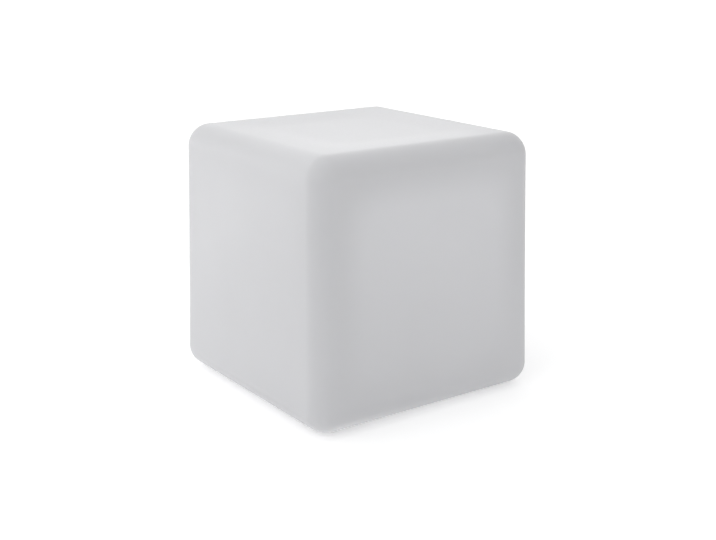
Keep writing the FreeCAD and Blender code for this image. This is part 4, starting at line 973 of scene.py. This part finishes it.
def connector_nylon():
    m, t, p = new_material("connector_nylon")
    v = place_coordinates(t)
    fine, broad = noise_node(t, v, 2800.0, 3.0), noise_node(t, v, 350.0, 4.0)
    t.links.new(ramp(t, broad, [(0.3, (0.66, 0.64, 0.56)), (0.7, (0.74, 0.725, 0.65))]), p.inputs["Base Color"])
    t.links.new(spread(t, fine, 0.36, 0.50), p.inputs["Roughness"])
    p.inputs["Subsurface Weight"].default_value = 0.4
    p.inputs["Subsurface Radius"].default_value = (1.0, 0.9, 0.7)
    p.inputs["Subsurface Scale"].default_value = 0.0008
    bump(t, [(fine, 0.00001), (broad, 0.00002)], p)
    return m


def cell_can():
    """Nickel-plated steel, drawn lengthwise, with a dull band near each crimp."""
    m, t, p = new_material("cell_can")
    v = place_coordinates(t)
    x, _, _ = xyz(t, v)
    drawn = noise_node(t, place_coordinates(t, (1.0, 26.0, 26.0)), 220.0, 3.0)
    cloud = noise_node(t, v, 160.0, 5.0)
    near_end = smooth_range(t, math_node(t, "ABSOLUTE", x), 0.0285, 0.0315, 0.0, 1.0)
    base = ramp(t, cloud, [(0.3, shade(NICKEL, 0.88)), (0.7, NICKEL)])
    t.links.new(mix_colour(t, math_node(t, "MULTIPLY", near_end, 0.3), base, shade(NICKEL, 0.75)), p.inputs["Base Color"])
    t.links.new(math_node(t, "MULTIPLY_ADD", near_end, 0.1, spread(t, drawn, 0.20, 0.34)), p.inputs["Roughness"])
    p.inputs["Metallic"].default_value = 1.0
    bump(t, [(drawn, 0.000008)], p)
    return m


def nickel_strip():
    """Rolled nickel with the pairs of dimples that the spot welder leaves."""
    m, t, p = new_material("nickel_strip")
    v = place_coordinates(t)
    rolled = noise_node(t, place_coordinates(t, (30.0, 1.0, 1.0)), 500.0, 2.0)
    cloud = noise_node(t, v, 700.0, 3.0)
    _, y, z = xyz(t, v)
    spots = []
    for cy in (5.7, 24.3):
        for dy, dz in ((-1.6, -1.0), (1.6, -1.0), (-1.6, 1.0), (1.6, 1.0)):
            d = hypot(t, math_node(t, "SUBTRACT", y, (cy + dy) * MM), math_node(t, "SUBTRACT", z, (33.6 + dz) * MM))
            spots.append(smooth_range(t, d, 0.00075, 0.0003, 0.0, 1.0))
    spot = any_of(t, spots)
    base = ramp(t, cloud, [(0.3, shade(NICKEL, 0.93)), (0.7, shade(NICKEL, 1.04))])
    t.links.new(mix_colour(t, math_node(t, "MULTIPLY", spot, 0.55), base, (0.34, 0.29, 0.22)), p.inputs["Base Color"])
    t.links.new(spread(t, rolled, 0.24, 0.38), p.inputs["Roughness"])
    p.inputs["Metallic"].default_value = 1.0
    bump(t, [(spot, -0.00015), (rolled, 0.000008)], p)
    return m


def shrink_sleeve():
    """Heat-shrunk film: glossy, pulled tight over the cells, gathered into fine creases near its ends."""
    m, t, p = new_material("shrink_sleeve")
    v = place_coordinates(t)
    x, _, _ = xyz(t, v)
    creases = noise_node(t, place_coordinates(t, (0.12, 1.0, 1.0)), 900.0, 3.0, 0.55)
    film = noise_node(t, v, 130.0, 4.0)
    fine = noise_node(t, v, 2500.0, 2.0)
    near_end = smooth_range(t, math_node(t, "ABSOLUTE", x), 0.020, 0.031, 0.12, 1.0)
    t.links.new(ramp(t, film, [(0.3, (0.022, 0.070, 0.235)), (0.5, (0.030, 0.088, 0.275)), (0.7, (0.040, 0.105, 0.31))]), p.inputs["Base Color"])
    t.links.new(spread(t, fine, 0.20, 0.32), p.inputs["Roughness"])
    p.inputs["Coat Weight"].default_value = 0.25
    p.inputs["Coat Roughness"].default_value = 0.12
    bump(t, [(math_node(t, "MULTIPLY", creases, near_end), 0.00025), (film, 0.0001)], p)
    return m


def foam():
    m, t, p = new_material("foam")
    v = place_coordinates(t)
    cells = t.nodes.new("ShaderNodeTexVoronoi")
    cells.feature = "DISTANCE_TO_EDGE"
    cells.inputs["Scale"].default_value = 1500.0
    t.links.new(v, cells.inputs["Vector"])
    wall = spread(t, cells.outputs["Distance"], 0.0, 1.0, 0.0, 0.25)
    broad = noise_node(t, v, 240.0, 4.0)
    # painted shade: the sunk pores are coloured darker than the cell rims between them, as shade in them would make
    # them; the same field sinks them in the bump
    t.links.new(mix_colour(t, wall, (0.115, 0.115, 0.12), ramp(t, broad, [(0.3, (0.040, 0.040, 0.042)), (0.7, (0.055, 0.055, 0.058))])), p.inputs["Base Color"])
    t.links.new(spread(t, broad, 0.85, 0.97), p.inputs["Roughness"])
    p.inputs["Specular IOR Level"].default_value = 0.2
    bump(t, [(wall, -0.00015)], p)
    return m


def socket_black():
    m, t, p = new_material("socket_black")
    v = place_coordinates(t)
    grain, broad = noise_node(t, v, 2600.0, 3.0), noise_node(t, v, 260.0, 4.0)
    _, _, z = xyz(t, v)
    ring = rings_of(t, from_axis(t, v, 24.0, -38.0), z, 0.35)
    t.links.new(ramp(t, broad, [(0.3, (0.017, 0.017, 0.018)), (0.7, (0.030, 0.030, 0.031))]), p.inputs["Base Color"])
    t.links.new(spread(t, grain, 0.34, 0.50), p.inputs["Roughness"])
    bump(t, [(ring, 0.00002), (grain, 0.00001)], p)
    return m


def spring_steel():
    m, t, p = new_material("spring_steel")
    v = place_coordinates(t)
    drawn, cloud = noise_node(t, v, 4200.0, 2.0), noise_node(t, v, 500.0, 4.0)
    t.links.new(ramp(t, cloud, [(0.3, (0.50, 0.49, 0.47)), (0.7, (0.62, 0.615, 0.60))]), p.inputs["Base Color"])
    t.links.new(spread(t, drawn, 0.20, 0.34), p.inputs["Roughness"])
    p.inputs["Metallic"].default_value = 1.0
    bump(t, [(drawn, 0.000006)], p)
    return m


def vent_plastic():
    m, t, p = new_material("vent_plastic")
    v = place_coordinates(t)
    grain, broad = noise_node(t, v, 2400.0, 3.0, 0.65), noise_node(t, v, 300.0, 4.0)
    dust = noise_node(t, v, 900.0, 3.0, 0.7)
    base = ramp(t, broad, [(0.3, (0.030, 0.031, 0.033)), (0.7, (0.046, 0.047, 0.049))])
    t.links.new(mix_colour(t, spread(t, dust, 0.0, 0.25, 0.6, 0.75), base, (0.13, 0.125, 0.12)), p.inputs["Base Color"])
    t.links.new(spread(t, grain, 0.48, 0.64), p.inputs["Roughness"])
    bump(t, [(grain, 0.00003), (broad, 0.00003)], p)
    return m


def vent_membrane():
    """Expanded PTFE: white nodes joined by fine strands."""
    m, t, p = new_material("vent_membrane")
    v = place_coordinates(t)
    strands = noise_node(t, place_coordinates(t, (9.0, 1.0, 1.0)), 1600.0, 3.0)
    knots = noise_node(t, v, 2600.0, 3.0, 0.7)
    t.links.new(ramp(t, strands, [(0.3, (0.80, 0.80, 0.80)), (0.7, (0.90, 0.90, 0.90))]), p.inputs["Base Color"])
    t.links.new(spread(t, knots, 0.75, 0.92), p.inputs["Roughness"])
    bump(t, [(strands, 0.00004), (knots, 0.00003)], p)
    return m


def wire_insulation(name, stops, axis_name="x"):
    """Insulation whose colour depends on which wire it is: stops is [(upper limit in mm along the axis, colour), …]."""
    m, t, p = new_material(name)
    v = place_coordinates(t)
    x, y, z = xyz(t, v)
    along = {"x": x, "y": y}[axis_name]
    fine, broad = noise_node(t, v, 2600.0, 2.0), noise_node(t, v, 500.0, 4.0)
    colour = stops[-1][1]
    for limit, c in reversed(stops[:-1]):
        colour = mix_colour(t, math_node(t, "LESS_THAN", along, limit * MM), colour, c)
    darker = spread(t, broad, 0.88, 1.08)
    scale = t.nodes.new("ShaderNodeVectorMath")
    scale.operation = "SCALE"
    t.links.new(colour, scale.inputs[0])
    t.links.new(darker, scale.inputs["Scale"])
    t.links.new(scale.outputs[0], p.inputs["Base Color"])
    t.links.new(spread(t, fine, 0.34, 0.48), p.inputs["Roughness"])
    p.inputs["IOR"].default_value = 1.52
    bump(t, [(broad, 0.00003), (fine, 0.000008)], p)
    return m


def light_pipe():
    m, t, p = new_material("light_pipe")
    v = place_coordinates(t)
    _, _, z = xyz(t, v)
    cloud, fine = noise_node(t, v, 400.0, 4.0), noise_node(t, v, 3000.0, 2.0)
    t.links.new(ramp(t, cloud, [(0.3, (0.90, 0.93, 0.94)), (0.7, (0.96, 0.98, 0.985))]), p.inputs["Base Color"])
    frosted = smooth_range(t, z, 0.0200, 0.0194, 0.06, 0.34)
    t.links.new(math_node(t, "MULTIPLY_ADD", fine, 0.04, frosted), p.inputs["Roughness"])
    p.inputs["IOR"].default_value = 1.585
    p.inputs["Transmission Weight"].default_value = 0.85
    bump(t, [(fine, 0.000008)], p)
    return m


def insert_brass():
    """Turned brass with the crossed knurl that holds it in the moulding."""
    m, t, p = new_material("insert_brass")
    v = place_coordinates(t)
    x, y, z = xyz(t, v)
    distance = from_ring(t, v, 84.0, 30.0, 60.0)
    bearing = math_node(t, "ARCTAN2", y, x)
    run = math_node(t, "MULTIPLY", bearing, 84.0 * 2.0)
    high = math_node(t, "MULTIPLY", z, 2000.0)
    left = math_node(t, "SINE", math_node(t, "MULTIPLY", math_node(t, "ADD", run, high), math.pi))
    right = math_node(t, "SINE", math_node(t, "MULTIPLY", math_node(t, "SUBTRACT", run, high), math.pi))
    knurl = math_node(t, "MULTIPLY", math_node(t, "MAXIMUM", left, right), math_node(t, "GREATER_THAN", distance, 0.00425))
    cloud = noise_node(t, v, 500.0, 4.0)
    marks = rings_of(t, distance, z, 0.12)
    t.links.new(ramp(t, cloud, [(0.3, shade(BRASS, 0.82)), (0.7, BRASS)]), p.inputs["Base Color"])
    t.links.new(spread(t, marks, 0.24, 0.38), p.inputs["Roughness"])
    p.inputs["Metallic"].default_value = 1.0
    bump(t, [(knurl, 0.0001), (marks, 0.000006)], p)
    return m


def about(x, y):
    return lambda t, v: from_axis(t, v, x, y)


def about_ring(radius, first, step):
    return lambda t, v: from_ring(t, v, radius, first, step)


def about_posts(t, v):
    """The nearest of the four posts, by folding the plan twice."""
    x, y, _ = xyz(t, v)
    a = math_node(t, "SUBTRACT", math_node(t, "ABSOLUTE", x), 46.985 * MM)
    b = math_node(t, "SUBTRACT", math_node(t, "ABSOLUTE", y), 17.101 * MM)
    return hypot(t, a, b)


def about_strap_screws(t, v):
    x, y, _ = xyz(t, v)
    b = math_node(t, "SUBTRACT", math_node(t, "ABSOLUTE", math_node(t, "SUBTRACT", y, 15.0 * MM)), 24.0 * MM)
    return hypot(t, x, b)


SWITCH_AT, SOCKET_AT, VENT_AT = (-24.0, -38.0), (24.0, -38.0), (0.0, -50.0)
GREY = silicone("grey_silicone", (0.205, 0.208, 0.212), 0.48)
COVER = silicone("cover_silicone", (0.475, 0.478, 0.470), 0.47, 0.12, 0.5)
BLACK_RUBBER = moulded("washer_rubber", (0.030, 0.030, 0.031), 0.62, 2400.0, 0.00002, 0.18)
FINISH = {
    "rubber_feet": foot_rubber(),
    "threaded_inserts": insert_brass(),
    "base_tray": tray_plastic(),
    "base_gasket": GREY,
    "dome_seal": GREY,
    "base_washers": BLACK_RUBBER,
    "switch_seal": BLACK_RUBBER,
    "socket_seal": BLACK_RUBBER,
    "base_screws": turned_about("base_screw_steel", STEEL, about_ring(84.0, 30.0, 60.0)),
    "dome_screws": turned_about("dome_screw_steel", STEEL, about_ring(65.5, 0.0, 60.0)),
    "led_board_screws": turned_about("board_screw_steel", STEEL, about_posts),
    "strap_screws": turned_about("strap_screw_steel", STEEL, about_strap_screws),
    "board_spacers": turned_about("spacer_brass", BRASS, about_posts, 0.15, 0.28),
    "light_dome": clear_plastic("clear_dome"),
    "led_board": white_board(),
    "led_packages": led_housing(),
    "led_phosphor": led_gel(),
    "remote_receiver": receiver_black(),
    "control_board": green_board(),
    "board_components": chip_black(),
    "wire_connectors": connector_nylon(),
    "battery_cells": cell_can(),
    "cell_tabs": nickel_strip(),
    "battery_sleeve": shrink_sleeve(),
    "battery_pad": foam(),
    "battery_strap": moulded("strap_plastic", (0.60, 0.61, 0.625), 0.5, 2200.0, 0.00003, 0.03),
    "switch_body": turned_about("switch_steel", STEEL, about(*SWITCH_AT), 0.10, 0.22, 0.000006, 0.06),
    "power_button": turned_about("button_steel", (0.69, 0.685, 0.67), about(*SWITCH_AT), 0.09, 0.18, 0.000007, 0.05),
    "switch_nut": turned_about("switch_nut_plated", NICKEL, about(*SWITCH_AT), 0.2, 0.26),
    "socket_nut": turned_about("socket_nut_plated", NICKEL, about(*SOCKET_AT), 0.2, 0.26),
    "socket_pin": turned_about("socket_pin_plated", NICKEL, about(*SOCKET_AT), 0.06, 0.16),
    "switch_rear_cover": moulded("switch_cover_black", (0.022, 0.022, 0.023), 0.44, 2600.0, 0.00002, 0.15),
    "switch_terminals": turned_metal("terminal_brass", BRASS, 0.30, 2200.0, 0.000008, (1, 1, 8), 0.15),
    "socket_contact": turned_metal("contact_brass", BRASS, 0.28, 2200.0, 0.000008, (1, 1, 8), 0.12),
    "button_clip": spring_steel(),
    "charge_socket": socket_black(),
    "breather_vent": vent_plastic(),
    "vent_nut": moulded("vent_nut_plastic", (0.038, 0.039, 0.041), 0.52, 2400.0, 0.00003, 0.14),
    "vent_membrane": vent_membrane(),
    "status_light_pipe": light_pipe(),
    "switch_leads": wire_insulation("switch_wires", [(-24.0, (0.42, 0.020, 0.018)), (99.0, (0.020, 0.020, 0.021))]),
    "socket_leads": wire_insulation("socket_wires", [(25.8, (0.42, 0.020, 0.018)), (99.0, (0.020, 0.020, 0.021))]),
    "battery_leads": wire_insulation("battery_wires", [(8.3, (0.42, 0.020, 0.018)), (99.0, (0.020, 0.020, 0.021))], "y"),
    "led_leads": wire_insulation(
        "led_wires",
        [(-32.5, (0.42, 0.020, 0.018)), (-29.5, (0.020, 0.22, 0.035)), (-26.5, (0.020, 0.045, 0.30)), (99.0, (0.62, 0.61, 0.58))],
    ),
}
for node, material in FINISH.items():
    finish_node(node, material)


# ---------------------------------------------------------------- the socket's silicone cover
def lathe(bm, profile, x, y, segments=64):
    """A closed turned solid: profile is (radius, height) in mm from the axis at the bottom to the axis at the top."""
    rings = []
    for r, z in profile:
        if r < 1e-6:
            rings.append([bm.verts.new(Vector((x, y, z)) * MM)])
        else:
            rings.append(
                [
                    bm.verts.new(Vector((x + r * math.cos(2 * math.pi * i / segments), y + r * math.sin(2 * math.pi * i / segments), z)) * MM)
                    for i in range(segments)
                ]
            )
    for low, high in zip(rings, rings[1:]):
        for i in range(segments):
            j = (i + 1) % segments
            corners = [low[i % len(low)], low[j % len(low)], high[j % len(high)], high[i % len(high)]]
            unique = []
            for c in corners:
                if c not in unique:
                    unique.append(c)
            if len(unique) > 2:
                bm.faces.new(unique)


def strip_solid(bm, stations, round_by=0.35):
    """A strap along X: stations are (x, half width, low z, high z) in mm, the section a rectangle with rounded corners."""
    loops = []
    for x, half, low, high in stations:
        r = min(round_by, (high - low) * 0.45, half * 0.9)
        loop = []
        for cy, cz, start in ((half - r, high - r, 0), (-half + r, high - r, 90), (-half + r, low + r, 180), (half - r, low + r, 270)):
            for k in range(5):
                a = math.radians(start + 22.5 * k)
                loop.append(bm.verts.new(Vector((x, SOCKET_AT[1] + cy + r * math.cos(a), cz + r * math.sin(a))) * MM))
        loops.append(loop)
    n = len(loops[0])
    for a, b in zip(loops, loops[1:]):
        for i in range(n):
            bm.faces.new([a[i], b[i], b[(i + 1) % n], a[(i + 1) % n]])
    bm.faces.new(loops[0])
    bm.faces.new(loops[-1][::-1])


def rounded_disc(radius, low, high, r, crown_by=0.0):
    """Profile of a disc with rounded rims, for lathe()."""
    out = [(0.0, low)]
    if crown_by:
        out += [((radius - r) * k / 5, low + crown_by * (k / 5) ** 2) for k in range(1, 5)]
        low += crown_by
    out += [(radius - r + r * math.sin(math.radians(a)), low + r - r * math.cos(math.radians(a))) for a in range(0, 91, 18)]
    out += [(radius - r + r * math.cos(math.radians(a)), high - r + r * math.sin(math.radians(a))) for a in range(0, 91, 18)]
    return out + [(0.0, high)]


def build_cover():
    """Cap, plug, pull tab, strap with its thin fold, and the button that is pushed through the tray, in one moulding."""
    solids = []

    def solid(make):
        bm = bmesh.new()
        make(bm)
        bmesh.ops.remove_doubles(bm, verts=bm.verts, dist=1e-7)
        bmesh.ops.recalc_face_normals(bm, faces=bm.faces)
        mesh = bpy.data.meshes.new("cover_solid")
        bm.to_mesh(mesh)
        bm.free()
        solids.append(mesh)

    sx, sy = SOCKET_AT
    solid(lambda bm: lathe(bm, rounded_disc(6.55, 16.72, 18.48, 0.55), sx, sy))
    plug = [(0.0, 18.1), (2.45, 18.1), (2.45, 18.9), (2.62, 19.15), (2.62, 19.45), (2.35, 19.9), (2.1, 19.98), (1.6, 19.98), (1.35, 19.8), (1.25, 19.2), (0.0, 19.1)]
    solid(lambda bm: lathe(bm, plug, sx, sy, 48))
    # pull tab, with three ribs to grip it by
    solid(lambda bm: strip_solid(bm, [(15.62, 1.3, 17.25, 18.05), (15.72, 1.75, 17.15, 18.15), (16.1, 2.25, 17.06, 18.24), (16.8, 2.5, 17.04, 18.26), (19.6, 2.55, 17.04, 18.26)]))
    for x in (16.3, 17.0, 17.7):
        solid(lambda bm, x=x: strip_solid(bm, [(x - 0.2, 1.75, 16.94, 17.4), (x + 0.2, 1.75, 16.94, 17.4)], 0.12))
    strap = []
    for i in range(45):
        x = 29.2 + (38.2 - 29.2) * i / 44
        fold = math.exp(-(((x - 31.6) / 0.75) ** 4))
        root = max(0.0, 1 - abs(x - 30.2) / 1.2)
        strap.append((x, 2.55 - 0.25 * fold, 17.22, 18.38 - 0.42 * fold + 0.0 * root))
    solid(lambda bm: strip_solid(bm, strap, 0.3))
    solid(lambda bm: lathe(bm, rounded_disc(3.95, 17.22, 19.98, 0.5), 37.6, sy))
    solid(lambda bm: lathe(bm, [(0.0, 19.6), (1.93, 19.6), (1.93, 23.02), (2.95, 23.02), (2.98, 23.2), (2.7, 23.8), (2.1, 24.5), (1.7, 24.76), (0.0, 24.78)], 37.6, sy, 48))

    bm = bmesh.new()
    for mesh in solids:
        bm.from_mesh(mesh)
        bpy.data.meshes.remove(mesh)
    mesh = bpy.data.meshes.new("socket_cover")
    bm.to_mesh(mesh)
    bm.free()
    obj = add_object("socket_cover", mesh)
    m = obj.modifiers.new("skin", "REMESH")
    m.mode, m.voxel_size, m.adaptivity = "VOXEL", 0.16 * MM, 0.0
    m.use_smooth_shade = True
    soft = obj.modifiers.new("soften", "SMOOTH")
    soft.factor, soft.iterations = 0.5, 3
    apply_modifiers(obj)
    keep_main_piece(obj)
    return obj


def keep_main_piece(obj):
    """Drops specks that a remesh can leave, and says if the skin is open anywhere."""
    bm = bmesh.new()
    bm.from_mesh(obj.data)
    bm.verts.ensure_lookup_table()
    seen, groups = set(), []
    for v in bm.verts:
        if v in seen:
            continue
        stack, group = [v], []
        seen.add(v)
        while stack:
            w = stack.pop()
            group.append(w)
            for e in w.link_edges:
                u = e.other_vert(w)
                if u not in seen:
                    seen.add(u)
                    stack.append(u)
        groups.append(group)
    groups.sort(key=len, reverse=True)
    extra = [v for g in groups[1:] for v in g]
    bmesh.ops.delete(bm, geom=extra, context="VERTS")
    open_edges = sum(1 for e in bm.edges if not e.is_manifold)
    bm.to_mesh(obj.data)
    bm.free()
    print(obj.name, "pieces", len(groups), "open edges", open_edges, "vertices", len(obj.data.vertices))


cover = build_cover()
cover.data.materials.clear()
cover.data.materials.append(COVER)
for f in cover.data.polygons:
    f.use_smooth = True
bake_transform(cover)
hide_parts("port_cover", "port_cover_anchor")


# ---------------------------------------------------------------- the switch's return spring
def build_spring():
    """Round wire with its two end turns wound close and ground flat, as a compression spring is made."""
    wire, mean, low, high, turns = 0.35, 4.5, 20.5, 27.0, 4.0
    rise = high - low - 2 * wire
    steps_per_turn, around = 72, 14
    count = int(turns * steps_per_turn)
    # the pitch opens smoothly from the end turns to the middle ones
    share = [0.62 + 0.76 * min(1.0, max(0.0, (min(k, count - k) / steps_per_turn - 0.55) / 0.7)) for k in range(count + 1)]
    total = sum(share[:-1])
    z, heights = 0.0, []
    for k in range(count + 1):
        heights.append(low + wire + rise * z / total)
        z += share[k]
    centre = [
        Vector((SWITCH_AT[0] + mean * math.cos(2 * math.pi * k / steps_per_turn), SWITCH_AT[1] + mean * math.sin(2 * math.pi * k / steps_per_turn), heights[k]))
        for k in range(count + 1)
    ]
    bm = bmesh.new()
    loops = []
    for k, c in enumerate(centre):
        along = (centre[min(k + 1, count)] - centre[max(k - 1, 0)]).normalized()
        out = Vector((c.x - SWITCH_AT[0], c.y - SWITCH_AT[1], 0.0)).normalized()
        side = along.cross(out).normalized()
        out = side.cross(along).normalized()
        loop = []
        for i in range(around):
            a = 2 * math.pi * i / around
            p = c + out * (wire * math.cos(a)) + side * (wire * math.sin(a))
            p.z = min(high - 0.005, max(low + 0.005, p.z))
            loop.append(bm.verts.new(p * MM))
        loops.append(loop)
    for a, b in zip(loops, loops[1:]):
        for i in range(around):
            bm.faces.new([a[i], a[(i + 1) % around], b[(i + 1) % around], b[i]])
    bm.faces.new(loops[0][::-1])
    bm.faces.new(loops[-1])
    bmesh.ops.recalc_face_normals(bm, faces=bm.faces)
    mesh = bpy.data.meshes.new("return_spring")
    bm.to_mesh(mesh)
    bm.free()
    obj = add_object("return_spring", mesh)
    mesh.materials.append(SPRING)
    smooth(obj, 50.0)
    return obj


SPRING = spring_steel()
spring = build_spring()
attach(spring, "housing")
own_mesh(spring)
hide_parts("switch_spring")


# ---------------------------------------------------------------- floor
FLOOR_GLOW, FLOOR_LIFT = 0.055, 0.2


def build_floor():
    """A large pale sheet, lit through a little, as the sheet of a photographer's table is: the glow that lights the cube, and a
    lift that only softens the shadow on the sheet. Seen from below it is clear, and the lamp under it shines through, so that
    the base can be looked at."""
    mesh = bpy.data.meshes.new("floor")
    bm = bmesh.new()
    bmesh.ops.create_grid(bm, x_segments=8, y_segments=8, size=40.0)
    bm.to_mesh(mesh)
    bm.free()
    obj = add_object("floor", mesh)
    m, t, p = new_material("pale_floor")
    v = place_coordinates(t)
    cloud = noise_node(t, v, 3.0, 3.0)
    t.links.new(ramp(t, cloud, [(0.3, (0.955, 0.955, 0.955)), (0.7, (0.965, 0.965, 0.965))]), p.inputs["Base Color"])
    t.links.new(spread(t, cloud, 0.85, 0.95), p.inputs["Roughness"])
    p.inputs["Specular IOR Level"].default_value = 0.1
    p.inputs["Emission Color"].default_value = (1.0, 1.0, 1.0, 1.0)
    m.cycles.emission_sampling = "NONE"
    clear = t.nodes.new("ShaderNodeBsdfTransparent")
    geometry = t.nodes.new("ShaderNodeNewGeometry")
    path = t.nodes.new("ShaderNodeLightPath")
    glow = math_node(t, "MULTIPLY_ADD", path.outputs["Is Camera Ray"], FLOOR_LIFT, FLOOR_GLOW)
    t.links.new(glow, p.inputs["Emission Strength"])
    through = math_node(t, "MAXIMUM", geometry.outputs["Backfacing"], path.outputs["Is Shadow Ray"])
    mix = t.nodes.new("ShaderNodeMixShader")
    t.links.new(through, mix.inputs[0])
    t.links.new(p.outputs[0], mix.inputs[1])
    t.links.new(clear.outputs[0], mix.inputs[2])
    t.links.new(mix.outputs[0], t.nodes["Material Output"].inputs["Surface"])
    mesh.materials.append(m)


build_floor()
